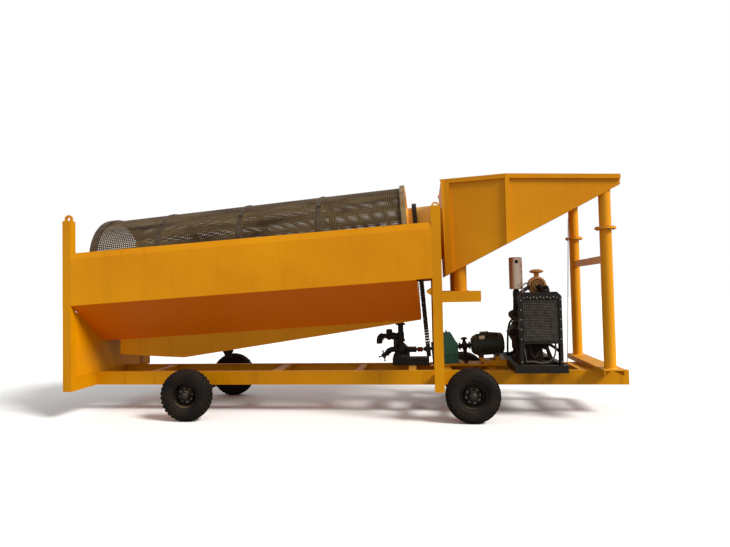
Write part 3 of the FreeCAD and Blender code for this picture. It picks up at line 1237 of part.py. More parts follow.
# Brake coupling between gear reducer and motor: flanged shaft, brake head, saddle
def drive_coupling():
    mid = "(cpl_s0+cpl_s1)/2"
    rows = [("cpl_s0", "0"), ("cpl_s0", "30"), ("cpl_s0+14", "30"), ("cpl_s0+14", "cpl_r"),
            ("cpl_s0+36", "cpl_r"), ("cpl_s0+46", "40"), (mid + "-42", "40"),
            (mid + "-34", "cpl_r+8"), (mid + "+34", "cpl_r+8"), (mid + "+42", "40"),
            ("cpl_s1-46", "40"), ("cpl_s1-36", "cpl_r"), ("cpl_s1-14", "cpl_r"),
            ("cpl_s1-14", "30"), ("cpl_s1", "30"), ("cpl_s1", "0")]
    drum = turned_at("cp_drum", "x", rows, y="drv_y", z="drv_n")
    head = turned_at("cp_knob", "z",
                     [(over_line("cpl_r-20"), "0"), (over_line("cpl_r-20"), "30"),
                      (over_line("knob_up-46"), "26"), (over_line("knob_up-34"), "58"),
                      (over_line("knob_up-18"), "58"), (over_line("knob_up"), "30"),
                      (over_line("knob_up"), "0")], x=mid, y="drv_y")
    saddle = prism("cp_saddle", "YZ_Plane",
                   mirrored([("64", over_line("-600")), ("44", over_line("-150")),
                             ("44", over_line("0"))], "drv_y"), mid + "-30", mid + "+30")
    whole = to_drum(weld("cp_whole", [drum, head, saddle]))
    trim = box("cp_trim", ("waist_x0-400", "waist_x1+400"), ("-2000", "2000"),
               (TOP + "+waist_h", "2000"))
    keep(common("drive_coupling", whole, trim), "drive_coupling")


# Motor: turned barrel with one fin repeated round it, feet, terminal box, lifting ring
def drive_motor():
    body = turned("mot_body", [("mot_s0", "0"), ("mot_s0", "mot_r-52"),
                               ("mot_s0+30", "mot_r-16"), ("mot_s0+70", "mot_r+6"),
                               ("mot_s0+84", "mot_r+6"), ("mot_s0+84", "mot_r"),
                               ("mot_s1-90", "mot_r"), ("mot_s1-90", "mot_r+14"),
                               ("mot_s1-34", "mot_r+10"), ("mot_s1-8", "mot_r-18"),
                               ("mot_s1", "mot_r-46"), ("mot_s1", "0")])
    sk = body.Group[0]
    fin = body.newObject("Sketcher::SketchObject", "mot_fin_sk")
    face = [f for f in body.Origin.OriginFeatures if f.Role == "XY_Plane"][0]
    fin.AttachmentSupport = (face, "")
    fin.MapMode = "FlatFace"
    lines(fin, [("mot_s0+90", "mot_r-2"), ("mot_s1-96", "mot_r-2"),
                ("mot_s1-96", "mot_r+mot_fin"), ("mot_s0+90", "mot_r+mot_fin")])
    pad = body.newObject("PartDesign::Pad", "mot_fin_pad")
    pad.Profile = fin
    pad.SideType = "Symmetric"
    bind(pad, "Length", "7")
    doc.recompute()
    ring = body.newObject("PartDesign::PolarPattern", "mot_fin_pol")
    ring.Originals = [pad]
    ring.Axis = (sk, ["H_Axis"])
    ring.Angle = 360
    bind(ring, "Occurrences", "mot_fins")
    body.Tip = ring
    place(body, y="drv_y", z="drv_n")
    parts = [body]
    for row in SLIDES:
        parts.append(prism("mo_foot_" + row["tag"], "YZ_Plane",
                           mirrored([("drv_w-24", over_line("-mot_h")),
                                     ("drv_w-24", over_line("22-mot_h")),
                                     ("70", over_line("60-mot_r"))], "drv_y"),
                           row["s"], row["s"] + "+60"))
    parts.append(prism("mo_box", "YZ_Plane",
                       mirrored([("60", over_line("mot_r-20")), ("60", over_line("mot_r+34")),
                                 ("46", over_line("mot_r+44"))], "(drv_y+60)"),
                       "mot_s0+170", "mot_s0+310"))
    parts.append(tube("mo_eye", "y", "drv_y-52", "drv_y-38", "mot_s0+250",
                      over_line("mot_r+12"), "24", "13"))
    keep(to_drum(weld("drive_motor", parts)), "drive_motor")


# Bearing block of the drive sprocket shaft, seated on the drive base
def shaft_blocks():
    a, b = "block_s0", "block_s1"
    block = prism("sb_body", "YZ_Plane",
                  mirrored([("120", over_line("-800")), ("70", over_line("-60")),
                            ("70", over_line("60")), ("34", over_line("110"))], "drv_y"), a, b)
    bore = rod("sb_bore", "x", a + "-1", b + "+1", "drv_y", "drv_n", "shaft_r+0.05")
    raw = to_drum(cut("sb_cut", block, bore))
    trim = prism("sb_trim", "XZ_Plane",
                 [("0", deck("0")), ("3000", deck("3000")), ("3000", "3000"), ("0", "3000")],
                 "-2000", "2000")
    keep(common("shaft_block", raw, trim), "shaft_blocks")


# The pump stands in line with the drive shaft at the end of its coupling
PUMP_Z = along_drum("pmp_x1", "drv_n")
FLOOR = "(rail_z+rail_h+sleeper_h+pmp_h)"


# Slurry pump: turned casing with suction flange, bearing frame and shaft coupling,
# outlet neck on top, foot below
def pump():
    casing = turned_at("pu_case", "x",
                       [("pmp_x-70", "0"), ("pmp_x-70", "70"), ("pmp_x-56", "70"),
                        ("pmp_x-56", "52"), ("pmp_x-46", "52"), ("pmp_x-38", "pmp_r-26"),
                        ("pmp_x-22", "pmp_r"), ("pmp_x+34", "pmp_r"), ("pmp_x+56", "pmp_r-16"),
                        ("pmp_x+110", "62"), ("pmp_x+128", "50"), ("pmp_x1-126", "50"),
                        ("pmp_x1-126", "56"), ("pmp_x1-112", "56"), ("pmp_x1-112", "22"),
                        ("pmp_x1-96", "22"), ("pmp_x1-96", "32"), ("pmp_x1-84", "42"),
                        ("pmp_x1-58", "42"), ("pmp_x1-52", "34"), ("pmp_x1-46", "34"),
                        ("pmp_x1-40", "42"), ("pmp_x1-14", "42"), ("pmp_x1", "30"),
                        ("pmp_x1", "0")], y="drv_y", z=PUMP_Z)
    neck = turned_at("pu_neck", "z",
                     [(PUMP_Z, "0"), (PUMP_Z, "pipe_r"), ("joint_z-16", "pipe_r"),
                      ("joint_z-16", "pipe_r+26"), ("joint_z", "pipe_r+26"),
                      ("joint_z", "0")], x="pmp_x", y="drv_y")
    foot = prism("pu_foot", "YZ_Plane",
                 mirrored([("pmp_w-12", FLOOR), ("pmp_w-12", FLOOR + "+16"),
                           ("50", FLOOR + "+34"), ("34", PUMP_Z + "-20")], "drv_y"),
                 "pmp_x-20", "pmp_x+150")
    keep(weld("pump", [casing, neck, foot]), "pump")


# Riser with its flanges and the cone under the trough, side pipe with its bend, falling
# suction pipe; a valve with its spindle on each branch
def pump_pipes():
    top = "(%s-0.3)" % floor_z("pmp_x-34")
    riser = turned_at("pp_riser", "z",
                      [("joint_z+0.3", "0"), ("joint_z+0.3", "pipe_r+26"),
                       ("joint_z+16", "pipe_r+26"), ("joint_z+16", "pipe_r"),
                       ("side_z-56", "pipe_r"), ("side_z-56", "pipe_r+12"),
                       ("side_z+56", "pipe_r+12"), ("side_z+56", "pipe_r"),
                       (top + "-66", "pipe_r"), (top + "-56", "pipe_r+42"),
                       (top + "-46", "pipe_r+42"), (top, "34"), (top, "0")],
                      x="pmp_x", y="drv_y")
    arm = rod("pp_arm", "x", "side_x", "pmp_x", "drv_y", "side_z", "arm_pr")
    elbow = turned_at("pp_elbow", "z",
                      [("side_z-126", "0"), ("side_z-126", "arm_pr+4"),
                       ("side_z-112", "arm_pr+4"), ("side_z-112", "arm_pr"),
                       ("side_z", "arm_pr"), ("side_z", "0")], x="side_x", y="drv_y")
    ball = doc.addObject("Part::Sphere", "pp_ball")
    bind(ball, "Radius", "arm_pr+2")
    place(ball, x="side_x", y="drv_y", z="side_z")
    low = turned_at("pp_low", "x",
                    [("low_x", "0"), ("low_x", "arm_pr"), ("pmp_x-84", "arm_pr"),
                     ("pmp_x-84", "70"), ("pmp_x-70.3", "70"), ("pmp_x-70.3", "0")],
                    y="drv_y", z=PUMP_Z)
    bend = doc.addObject("Part::Sphere", "pp_bend")
    bind(bend, "Radius", "arm_pr+2")
    place(bend, x="low_x", y="drv_y", z=PUMP_Z)
    fall = turned("pp_fall", [("-low_l", "0"), ("-low_l", "arm_pr-6"), ("-low_l+16", "arm_pr+10"),
                              ("-low_l+32", "arm_pr+10"), ("-low_l+32", "arm_pr-4"),
                              ("-78", "arm_pr-4"), ("-78", "arm_pr+14"), ("-64", "arm_pr+14"),
                              ("-64", "arm_pr"), ("0", "arm_pr"), ("0", "0")])
    place(fall, x="low_x", y="drv_y", z=PUMP_Z, axis=(0, 1, 0), angle="-low_a")
    upper, lower = [riser, arm, elbow, ball], [low, bend, fall]
    valve = turned_at("valve_upper", "z",
                      [("side_z-62", "0"), ("side_z-62", "30"), ("side_z-46", "52"),
                       ("side_z+40", "52"), ("side_z+50", "18"), ("side_z+86", "14"),
                       ("side_z+86", "0")], x="(side_x+pmp_x)/2-20", y="drv_y")
    flange = rod("valve_flange", "x", "pmp_x-120", "pmp_x-100", "drv_y", "side_z",
                 "arm_pr+24")
    spindle = rod("stem_upper", "y", "drv_y-110", "drv_y", "(side_x+pmp_x)/2-20", "side_z",
                  "12")
    upper.extend([valve, flange, spindle])
    cross = rod("stem_lower", "y", "-110", "0", "-low_l/2-30", "0", "12")
    knuckle = rod("knuckle_lower", "y", "-58", "58", "-low_l/2-30", "0", "arm_pr+10")
    turn = place(group("lower_valve", [cross, knuckle]), x="low_x", y="drv_y", z=PUMP_Z,
                 axis=(0, 1, 0), angle="-low_a")
    lower.append(turn)
    keep(group("pump_pipes", [weld("pipes_upper", upper), weld("pipes_lower", lower)]),
         "pump_pipes")


# Pump base: two bars with three ties, on two sleepers that reach to the far rail
PUMP_TIES = table("x0 x1", ("pmp_x-145", "pmp_x-75"), ("pmp_x+70", "pmp_x+170"),
                  ("pmp_x1+30", "drv_x0-20"))


def pump_base():
    z = (TOP + "+sleeper_h", FLOOR)
    parts = []
    for tag, s in SIDES:
        lo, hi = ("drv_y-pmp_w", "drv_y-pmp_w+50") if s < 0 else ("drv_y+pmp_w-50",
                                                                  "drv_y+pmp_w")
        parts.append(box("pb_bar_" + tag, ("pmp_x-145", "drv_x0-20"), (lo, hi), z))
    for i, row in enumerate(PUMP_TIES):
        parts.append(box("pb_tie_%d" % i, (row["x0"], row["x1"]),
                         ("drv_y-pmp_w", "drv_y+pmp_w"), z))
        if i != 1:
            parts.append(box("pb_sleeper_%d" % i, (row["x0"], row["x1"]),
                             ("drv_y-pmp_w", "rail_y-rail_t"), (TOP, z[0])))
    keep(weld("pump_base", parts), "pump_base")


MAKERS = [chassis_rails, cross_members, frame_posts, lifting_eyes, side_panels,
          trough_sides, trough_channel, end_plates, roller_beams, rollers, drum_screen,
          drum_rings, drum_head, drum_sprocket, drive_sprocket, drive_chain, axle_beams,
          wheels, feed_hopper, hopper_rim, hopper_arms, hopper_legs, leg_base, genset_base, engine_block,
          engine_head, generator,
          radiator, fan, muffler, air_cleaner, drive_base, gear_reducer,
          drive_coupling, drive_motor, shaft_blocks, pump, pump_pipes, pump_base]
for maker in MAKERS:
    maker()
doc.recompute()

bad = [o.Name for o in doc.Objects if "Invalid" in o.State or "Error" in o.State]
for name, obj in SUBPARTS:
    shape = obj.Shape
    if shape.isNull() or not shape.isValid() or not shape.Solids:
        bad.append(name)
if bad:
    raise SystemExit("not made: " + ", ".join(bad))
os.makedirs("parts", exist_ok=True)
box_all = FreeCAD.BoundBox()
for name, obj in SUBPARTS:
    obj.Shape.exportStep("parts/%s.step" % name)
    box_all.add(obj.Shape.BoundBox)
    print("%-22s solids %d volume %.4f m3" % (name, len(obj.Shape.Solids),
                                              obj.Shape.Volume / 1e9))
print(len(SUBPARTS), "sub-parts, box", box_all)
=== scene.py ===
# %% [markdown]
# # A wheeled trommel screen, dressed for the studio
# The machine's shape comes from its CAD model. This file adds what a drawing office leaves
# to the paint shop and the fitters: finishes, tread, perforations, chain links and bolts.
# Every object is in metres, with X along the frame, Y across it and Z up from the ground.

# %% Load the frame
from math import acos, atan2, cos, hypot, pi, radians, sin

import bmesh
import bpy
from mathutils import Matrix, Vector


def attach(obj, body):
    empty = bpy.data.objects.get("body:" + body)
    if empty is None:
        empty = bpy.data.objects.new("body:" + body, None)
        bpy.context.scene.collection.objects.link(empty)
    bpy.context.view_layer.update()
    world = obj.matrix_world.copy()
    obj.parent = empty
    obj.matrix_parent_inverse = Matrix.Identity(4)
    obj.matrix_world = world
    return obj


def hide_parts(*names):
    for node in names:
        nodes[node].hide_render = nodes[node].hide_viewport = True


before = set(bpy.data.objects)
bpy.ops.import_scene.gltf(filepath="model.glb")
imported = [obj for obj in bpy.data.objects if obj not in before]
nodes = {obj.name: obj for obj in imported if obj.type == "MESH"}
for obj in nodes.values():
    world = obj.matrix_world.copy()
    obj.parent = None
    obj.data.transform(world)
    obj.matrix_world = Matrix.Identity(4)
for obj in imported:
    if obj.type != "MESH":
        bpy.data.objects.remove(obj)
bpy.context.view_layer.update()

# %% [markdown]
# ## The camera
# A camera is a place, a direction and a lens. The place and the direction here make the
# posts, rails and wheels fall where a visitor standing in front of the machine sees them.
# The matrix is built from its three axes, because the view also leans by about a degree.

# %% Camera
eye = Vector((1.37193, -8.90516, 1.99430))
yaw, pitch, roll = 0.1151, 0.032, -0.021
look = Vector((-sin(yaw) * cos(pitch), cos(yaw) * cos(pitch), sin(pitch)))
level = Vector((cos(yaw), sin(yaw), 0))
over = level.cross(look)
right = cos(roll) * level + sin(roll) * over
up = -sin(roll) * level + cos(roll) * over
turn = Matrix((right, up, -look)).transposed().to_4x4()
camera = bpy.data.objects.new("camera", bpy.data.cameras.new("camera"))
camera.matrix_world = Matrix.Translation(eye) @ turn
SENSOR_MM, FOCAL_PX, WIDTH_PX = 36, 521.388, 730
camera.data.sensor_width = SENSOR_MM
camera.data.lens = FOCAL_PX / WIDTH_PX * SENSOR_MM
camera.data.clip_end = 200
bpy.context.collection.objects.link(camera)
bpy.context.scene.camera = camera
print("lens", round(camera.data.lens, 2), "mm")

# %% [markdown]
# ## Materials as arithmetic
# A shader is a small formula for colour, roughness and relief. Wiring Math nodes by hand is
# slow, so a socket is wrapped in a class whose plus, minus and times add the node. A finish
# is then written as a formula, and its constants go straight on the shader.


# %% Socket arithmetic
def maths(kind, swapped=False):
    def method(self, other):
        pair = (other, self) if swapped else (self, other)
        return self.fin.add("ShaderNodeMath", dict(enumerate(pair)), operation=kind)
    return method


class Sock:
    __add__, __radd__ = maths("ADD"), maths("ADD", swapped=True)
    __sub__, __rsub__ = maths("SUBTRACT"), maths("SUBTRACT", swapped=True)
    __mul__ = maths("MULTIPLY")
    power, least, most = maths("POWER"), maths("MINIMUM"), maths("MAXIMUM")

    def __init__(self, fin, out):
        self.fin, self.out = fin, out

    def step(self, low, high):
        return self.fin.add("ShaderNodeMapRange", {0: self, 1: low, 2: high}, clamp=True)


# %% A finish: one material with its formula
class Finish:
    def __init__(self, name, **constants):
        self.mat = bpy.data.materials.new(name)
        self.mat.use_nodes = True
        self.tree = self.mat.node_tree
        self.shader = self.tree.nodes["Principled BSDF"]
        for key, value in constants.items():
            self.shader.inputs[key.replace("_", " ")].default_value = value
        self.place = self.add("ShaderNodeTexCoord", {}, "Object")

    def add(self, kind, inputs, out=0, **settings):
        node = self.tree.nodes.new(kind)
        for key, value in settings.items():
            setattr(node, key, value)
        for key, value in inputs.items():
            if isinstance(value, Sock):
                self.tree.links.new(value.out, node.inputs[key])
            else:
                node.inputs[key].default_value = value
        return Sock(self, node.outputs[out])

    def noise(self, scale, detail=3.0, stretch=None, rough=0.5):
        where = self.place
        if stretch:
            where = self.add("ShaderNodeVectorMath", {0: where, 1: stretch},
                             operation="MULTIPLY")
        return self.add("ShaderNodeTexNoise", {"Vector": where, "Scale": scale,
                                               "Detail": detail, "Roughness": rough})

    def blend(self, factor, a, b):
        return self.add("ShaderNodeMix", {0: factor, 6: a, 7: b}, 2, data_type="RGBA")

    def axis(self, letter):
        return self.add("ShaderNodeSeparateXYZ", {0: self.place}, letter)

    def facing(self, letter):
        normal = self.add("ShaderNodeNewGeometry", {}, "Normal")
        return self.add("ShaderNodeSeparateXYZ", {0: normal}, letter)

    def relief(self, height, depth, strength=1.0):
        return self.add("ShaderNodeBump", {"Height": height, "Distance": depth,
                                           "Strength": strength})

    def wire(self, **links):
        for key, value in links.items():
            self.tree.links.new(value.out, self.shader.inputs[key.replace("_", " ")])
        return self.mat


def tone(*rgb):
    return tuple(((c / 255 + 0.055) / 1.055) ** 2.4 if c > 10 else c / 255 / 12.92
                 for c in rgb) + (1.0,)


# %% [markdown]
# ## Places that come back
# The drum slopes, and the drive line lies along it: LINE_N is how far it stands from the
# drum's axis. What is set out in the drum's frame is turned by the matrix DRUM. The pump,
# the engine, the wheels and the hopper's legs each have a centre that many fittings use.

# %% Places
DRUM_Z, SLOPE = 2.797, radians(4.3)
DRUM = Matrix.Translation((0, 0, DRUM_Z)) @ Matrix.Rotation(-SLOPE, 4, "Y")
LINE_Y, LINE_N = 0.25, -1.941
PUMP_Z = 0.948
ENGINE_X, SHAFT_Z = 3.06, 1.18
CAN_X, CAN_Y = 2.815, -0.30
REAR_X, FRONT_X, HUB_Y, AXLE_Z = -2.405, 2.028, 1.022, 0.405
LEG_X, LEG_Y = 4.043, 0.827

# %% [markdown]
# ## The studio
# The machine stands on a plain pale floor in front of nothing. Only what the camera sees of
# floor and sky is white. For the light that bounces, the floor is a mid grey, as a yard is,
# so that the undersides stay dark. A wide sun lamp from the right gives the form.

# %% Sky and lamp
world = bpy.data.worlds.new("sky")
bpy.context.scene.world = world
world.use_nodes = True
tree = world.node_tree
rays = tree.nodes.new("ShaderNodeLightPath")
seen = tree.nodes.new("ShaderNodeMath")
seen.operation = "MAXIMUM"
tree.links.new(rays.outputs["Is Camera Ray"], seen.inputs[0])
tree.links.new(rays.outputs["Is Transmission Ray"], seen.inputs[1])
strength = tree.nodes.new("ShaderNodeMapRange")
strength.inputs["To Min"].default_value = 0.56
strength.inputs["To Max"].default_value = 1.0
tree.links.new(seen.outputs[0], strength.inputs["Value"])
tree.links.new(strength.outputs[0], tree.nodes["Background"].inputs["Strength"])
tree.nodes["Background"].inputs["Color"].default_value = (1, 1, 1, 1)
bpy.context.scene.view_settings.view_transform = "Standard"
sun = bpy.data.objects.new("sun", bpy.data.lights.new("sun", "SUN"))
sun.data.energy = 3.75
sun.data.angle = radians(18)
sun.data.color = (1.0, 0.97, 0.92)
sun.rotation_euler = Vector((0.80, -0.40, 0.76)).to_track_quat("Z", "Y").to_euler()
bpy.context.collection.objects.link(sun)

# %% Floor
bm = bmesh.new()
bmesh.ops.create_circle(bm, cap_ends=True, segments=64, radius=90)
mesh = bpy.data.meshes.new("floor")
bm.to_mesh(mesh)
bm.free()
floor = bpy.data.objects.new("floor", mesh)
bpy.context.collection.objects.link(floor)
fin = Finish("floor_pale", Roughness=0.9, Specular_IOR_Level=0.0)
rays = fin.add("ShaderNodeLightPath", {}, "Is Camera Ray")
fin.wire(Base_Color=fin.blend(rays, (0.30, 0.29, 0.27, 1), (0.93, 0.93, 0.93, 1)))
mesh.materials.append(fin.mat)
print("studio ready")

# %% [markdown]
# ## Enamel
# The frame wears one thick coat of yellow enamel, brushed on sheet that is never quite flat.
# Three things make it real: a slow drift of colour, dirt that runs down from the edges, and
# small chips with a rusty core. Faces that look down get a painted shade, darker and redder.
# The same recipe gives the other paints of the machine.


# %% Painted steel
def enamel(name, colour, chip=(0.05, 0.03, 0.02, 1), rough=0.40, wave=1.0, dirt=1.0,
           chips=0.5, gleam=0.18):
    fin = Finish(name, Specular_IOR_Level=gleam)
    drift = fin.noise(0.7, 2).step(0.32, 0.70)
    dark = tuple(c * k for c, k in zip(colour[:3], (0.86, 0.78, 0.60))) + (1,)
    body = fin.blend(drift, dark, colour)
    # Painted shade: faces that look down are blended towards a darker, redder copy of the paint
    under = fin.facing("Z").step(-0.15, -0.75)
    painted_shade_colour = tuple(c * k for c, k in zip(colour[:3], (1.08, 0.50, 0.02))) + (1,)
    body = fin.blend(under * 0.85, body, painted_shade_colour)
    # Streaks: a noise stretched along Z
    runs = fin.noise(1.0, 4, (9.0, 9.0, 0.7)).step(0.54, 0.80)
    low = (1.0 - fin.axis("Z").step(0.1, 1.5)) * 0.45 + 0.16
    grime = (runs * low * dirt).least(0.6)
    body = fin.blend(grime, body, tuple(c * k for c, k in zip(colour[:3], (0.45, 0.36, 0.30)))
                     + (1,))
    dust = fin.facing("Z").step(0.35, 0.95) * fin.noise(3.1, 3).step(0.25, 0.75) * 0.22
    body = fin.blend(dust * dirt, body, (0.40, 0.27, 0.13, 1))
    speck = fin.noise(34.0, 4, rough=0.7).step(0.715, 0.73) * fin.noise(1.9, 2).step(0.5, 0.7)
    body = fin.blend((speck * chips).least(1.0), body, chip)
    gloss = (fin.noise(6.0, 3) * 0.22 + (rough - 0.11) + dust * 0.9 + speck * 0.3).least(0.9)
    skin = fin.noise(2.1, 2) * wave + fin.noise(55.0, 2) * 0.022 - speck * 0.03
    return fin.wire(Base_Color=body, Roughness=gloss, Normal=fin.relief(skin, 0.010))


yellow = enamel("yellow_enamel", tone(228, 152, 0))
deep_yellow = enamel("hopper_enamel", tone(224, 150, 2))
# Painted light: the legs wear a lighter copy of the frame's yellow, to look lit on their round
# sides
leg_yellow_lit_copy = enamel("leg_enamel_lit_copy", tone(238, 164, 22), wave=0.2)
post_yellow = enamel("post_enamel", tone(216, 146, 0), wave=0.4)
black = enamel("black_enamel", tone(24, 19, 16), rough=0.46, wave=0.2, dirt=1.2, chips=0.8,
               gleam=0.3)
green = enamel("reducer_enamel", tone(46, 98, 84), wave=0.3, rough=0.34, chips=0.9, gleam=0.4)
motor_green = enamel("motor_enamel", tone(52, 56, 44), wave=0.2, rough=0.40, chips=0.6,
                     gleam=0.3)
tan = enamel("cleaner_enamel", tone(206, 152, 92), wave=0.2, rough=0.34, chips=0.7)
iron = enamel("engine_iron", tone(44, 30, 22), rough=0.62, wave=0.2, dirt=1.3, gleam=0.12)
rim_paint = enamel("rim_enamel", tone(26, 20, 16), rough=0.48, wave=0.2, dirt=1.3, gleam=0.25)
red = enamel("coupling_enamel", tone(112, 20, 20), wave=0.2, chips=0.9)


# Drum head: cream paint on the flange's face, wear down to the steel on its running edge
def head_paint():
    fin = Finish("head_enamel", Specular_IOR_Level=0.2)
    across = (fin.axis("Z") - DRUM_Z) * cos(SLOPE) - fin.axis("X") * sin(SLOPE)
    out = (across * across + fin.axis("Y") * fin.axis("Y")).power(0.5)
    worn = out.step(0.879, 0.883)
    patch = fin.noise(2.0, 3).step(0.3, 0.7)
    body = fin.blend(patch, tone(232, 164, 50), tone(238, 182, 84))
    steel = fin.blend(fin.noise(9.0, 4).step(0.35, 0.7), tone(150, 128, 90), tone(104, 84, 58))
    body = fin.blend(worn, body, steel)
    return fin.wire(Base_Color=body, Roughness=fin.noise(8.0, 3) * 0.2 + 0.35,
                    Metallic=worn * 0.4, Normal=fin.relief(fin.noise(4.0, 2), 0.002))


head_finish = head_paint()
print("paints ready")

# %% [markdown]
# ## Bare metals
# The drum is raw plate: brown mill scale, rust in long clouds, a dull shine, and pale streaks
# painted in as glints. Wear rubs the riding rings bright. Steel for shafts, chain and bolts is
# darker and oily, and the exhaust can is polished, so its colour is a reflection, with an orange
# tint on the side towards the drum.


# %% Steels
def plate(name, light, brown, rough=0.5, metal=0.55, cloud=1.0, streak=(0.7, 3.0, 3.0)):
    fin = Finish(name, Specular_IOR_Level=0.25)
    clouds = fin.noise(2.2 * cloud, 5, streak).step(0.38, 0.68)
    body = fin.blend(clouds, light, brown)
    spots = fin.noise(9.0, 4, rough=0.65).step(0.55, 0.78)
    body = fin.blend(spots * 0.55, body, tuple(c * 0.45 for c in brown[:3]) + (1,))
    # Painted glints: pale streaks, stretched along the drum's axis, stand in for shine
    pale = fin.noise(1.3, 4, (0.8, 4.0, 4.0)).step(0.62, 0.80)
    body = fin.blend(pale * 0.35, body, (0.24, 0.19, 0.13, 1))
    gloss = fin.noise(12.0, 3) * 0.25 + (rough - 0.1) + spots * 0.15
    skin = fin.noise(40.0, 4) * 0.3 + spots * 0.4
    return fin.wire(Base_Color=body, Roughness=gloss.least(0.95),
                    Metallic=metal - clouds * metal * 0.6, Normal=fin.relief(skin, 0.004))


screen = plate("screen_plate", tone(96, 78, 50), tone(56, 36, 18), metal=0.15,
               streak=(0.6, 2.6, 2.6))
band_steel = plate("band_steel", tone(84, 70, 56), tone(60, 44, 32), rough=0.46, metal=0.3)
oily = plate("oily_steel", tone(70, 64, 58), tone(48, 38, 30), rough=0.40, metal=0.7,
             cloud=3.0, streak=(1, 1, 1))
bright = plate("bright_steel", tone(176, 172, 166), tone(140, 128, 116), rough=0.30,
               metal=0.9, cloud=4.0, streak=(1, 1, 1))
bolt_steel = plate("bolt_steel", tone(150, 146, 138), tone(92, 72, 54), rough=0.38,
                   metal=0.8, cloud=6.0, streak=(1, 1, 1))


def polished():
    fin = Finish("exhaust_chrome")
    # The pipe is all below the can, and inner is the bore at its open top
    pipe = 1.0 - fin.axis("Z").step(1.955, 1.965)
    dx, dy = fin.axis("X") - CAN_X, fin.axis("Y") - CAN_Y
    inner = 1.0 - (dx * dx + dy * dy).power(0.5).step(0.097, 0.101)
    inner = inner * (1.0 - fin.axis("Z").step(2.455, 2.458)) * fin.axis("Z").step(1.975, 1.980)
    patch = fin.noise(5.0, 4, (1, 1, 0.4)).step(0.50, 0.80)
    # The side towards the drum (low X) is tinted orange and made less metallic
    drum_side_tint = 1.0 - fin.axis("X").step(2.735, 2.800)
    body = fin.blend(patch * 0.2, tone(222, 198, 176), tone(176, 136, 100))
    body = fin.blend(drum_side_tint * 0.8, body, tone(172, 116, 74))
    rust = fin.noise(16.0, 4).step(0.30, 0.70)
    body = fin.blend(pipe, body, fin.blend(rust, tone(50, 34, 24), tone(92, 66, 50)))
    body = fin.blend(inner, body, tone(14, 10, 8))
    gloss = fin.noise(18.0, 3) * 0.12 + 0.16 + patch * 0.14 + pipe * 0.4 + inner * 0.5
    return fin.wire(Base_Color=body, Roughness=gloss.least(0.95),
                    Metallic=(0.8 - patch * 0.2 - pipe * 0.6 - drum_side_tint * 0.5 - inner).most(0.0),
                    Normal=fin.relief(fin.noise(30.0, 2), 0.0006))


chrome = polished()
print("metals ready")

# %% [markdown]
# ## Rubber
# Old tyres are brown-black, not black: yard dust sits in the tread and fades the shoulders.
# The dust is a colour that rises with noise, and it also takes the last shine away. Faces that
# look up are lighter, partly dust and partly a painted highlight.


# %% Tyre and hose rubber
def rubber(name, dark, dusty, amount):
    fin = Finish(name, Specular_IOR_Level=0.2)
    soil = fin.noise(5.0, 5, rough=0.6).step(0.36, 0.74) * amount
    fine = fin.noise(60.0, 3).step(0.35, 0.75) * 0.35
    body = fin.blend(soil, dark, dusty)
    # Upward faces are lightened: partly dust, partly a painted highlight on the crown
    top = fin.facing("Z").step(0.25, 0.95) * fin.noise(20.0, 3).step(0.35, 0.6) * amount
    body = fin.blend(top * 0.6, body, tuple(c * 2.4 for c in dusty[:3]) + (1,))
    body = fin.blend(fine * soil, body, tuple(c * 1.5 for c in dusty[:3]) + (1,))
    return fin.wire(Base_Color=body, Roughness=0.62 + soil * 0.3,
                    Normal=fin.relief(fin.noise(90.0, 3) + fin.noise(14.0, 2), 0.0012))


tyre_rubber = rubber("tyre_rubber", tone(14, 12, 11), tone(44, 32, 22), 0.75)
hose_rubber = rubber("hose_rubber", tone(18, 16, 15), tone(50, 40, 30), 0.35)


# Radiator core: fins every few millimetres, with dust caught between them
def fins():
    fin = Finish("radiator_fins")
    wave = fin.add("ShaderNodeMath", {0: fin.axis("X") * 520.0}, operation="SINE")
    rows = fin.add("ShaderNodeMath", {0: fin.axis("Z") * 900.0}, operation="SINE")
    dust = fin.noise(6.0, 4).step(0.35, 0.75)
    body = fin.blend(dust * 0.5, tone(20, 17, 14), tone(60, 44, 30))
    return fin.wire(Base_Color=body, Roughness=0.62 + dust * 0.25, Metallic=0.5 - dust * 0.4,
                    Normal=fin.relief(wave * 0.6 + rows * 0.4, 0.0015))


core_finish = fins()
print("rubber and core ready")

# %% [markdown]
# ## The coats go on
# A node whose shape is right keeps its mesh and only gets a coat: the material goes into the
# slots of its object. One table says which coat each group of nodes wears.

# %% Coats for the CAD nodes
COATS = [(yellow, "side_panels trough_sides trough_channel end_plates roller_beams"),
         (post_yellow, "frame_posts chassis_rails cross_members lifting_eyes leg_base "
                       "hopper_arms"),
         (leg_yellow_lit_copy, "hopper_legs"),
         (head_finish, "drum_head"),
         (deep_yellow, "feed_hopper hopper_rim drive_base"),
         (band_steel, "drum_rings"),
         (screen, "drum_screen"),
         (oily, "drum_sprocket drive_sprocket drive_chain roller_brackets shaft_blocks "
                "roller_rear_near roller_rear_far roller_front_near roller_front_far"),
         (rim_paint, "rim_rear_near rim_rear_far rim_front_near rim_front_far"),
         (tyre_rubber, "tyre_rear_near tyre_rear_far tyre_front_near tyre_front_far"),
         (green, "gear_reducer"),
         (motor_green, "drive_motor"),
         (chrome, "muffler"),
         (tan, "air_cleaner"),
         (core_finish, "radiator_core"),
         (iron, "generator engine_block engine_head cooling_fan drive_coupling"),
         (black, "axle_beams genset_base radiator_frame pump pump_pipes pump_base "
                 "trough_drain")]
for coat, names in COATS:
    for name in names.split():
        slots = nodes[name].data.materials
        for i in range(max(1, len(slots))):
            if slots:
                nodes[name].material_slots[i].link = "OBJECT"
                nodes[name].material_slots[i].material = coat
            else:
                slots.append(coat)
coated = {name for coat, names in COATS for name in names.split()}
print("coated", len(coated), "nodes; without a coat:", sorted(set(nodes) - coated))

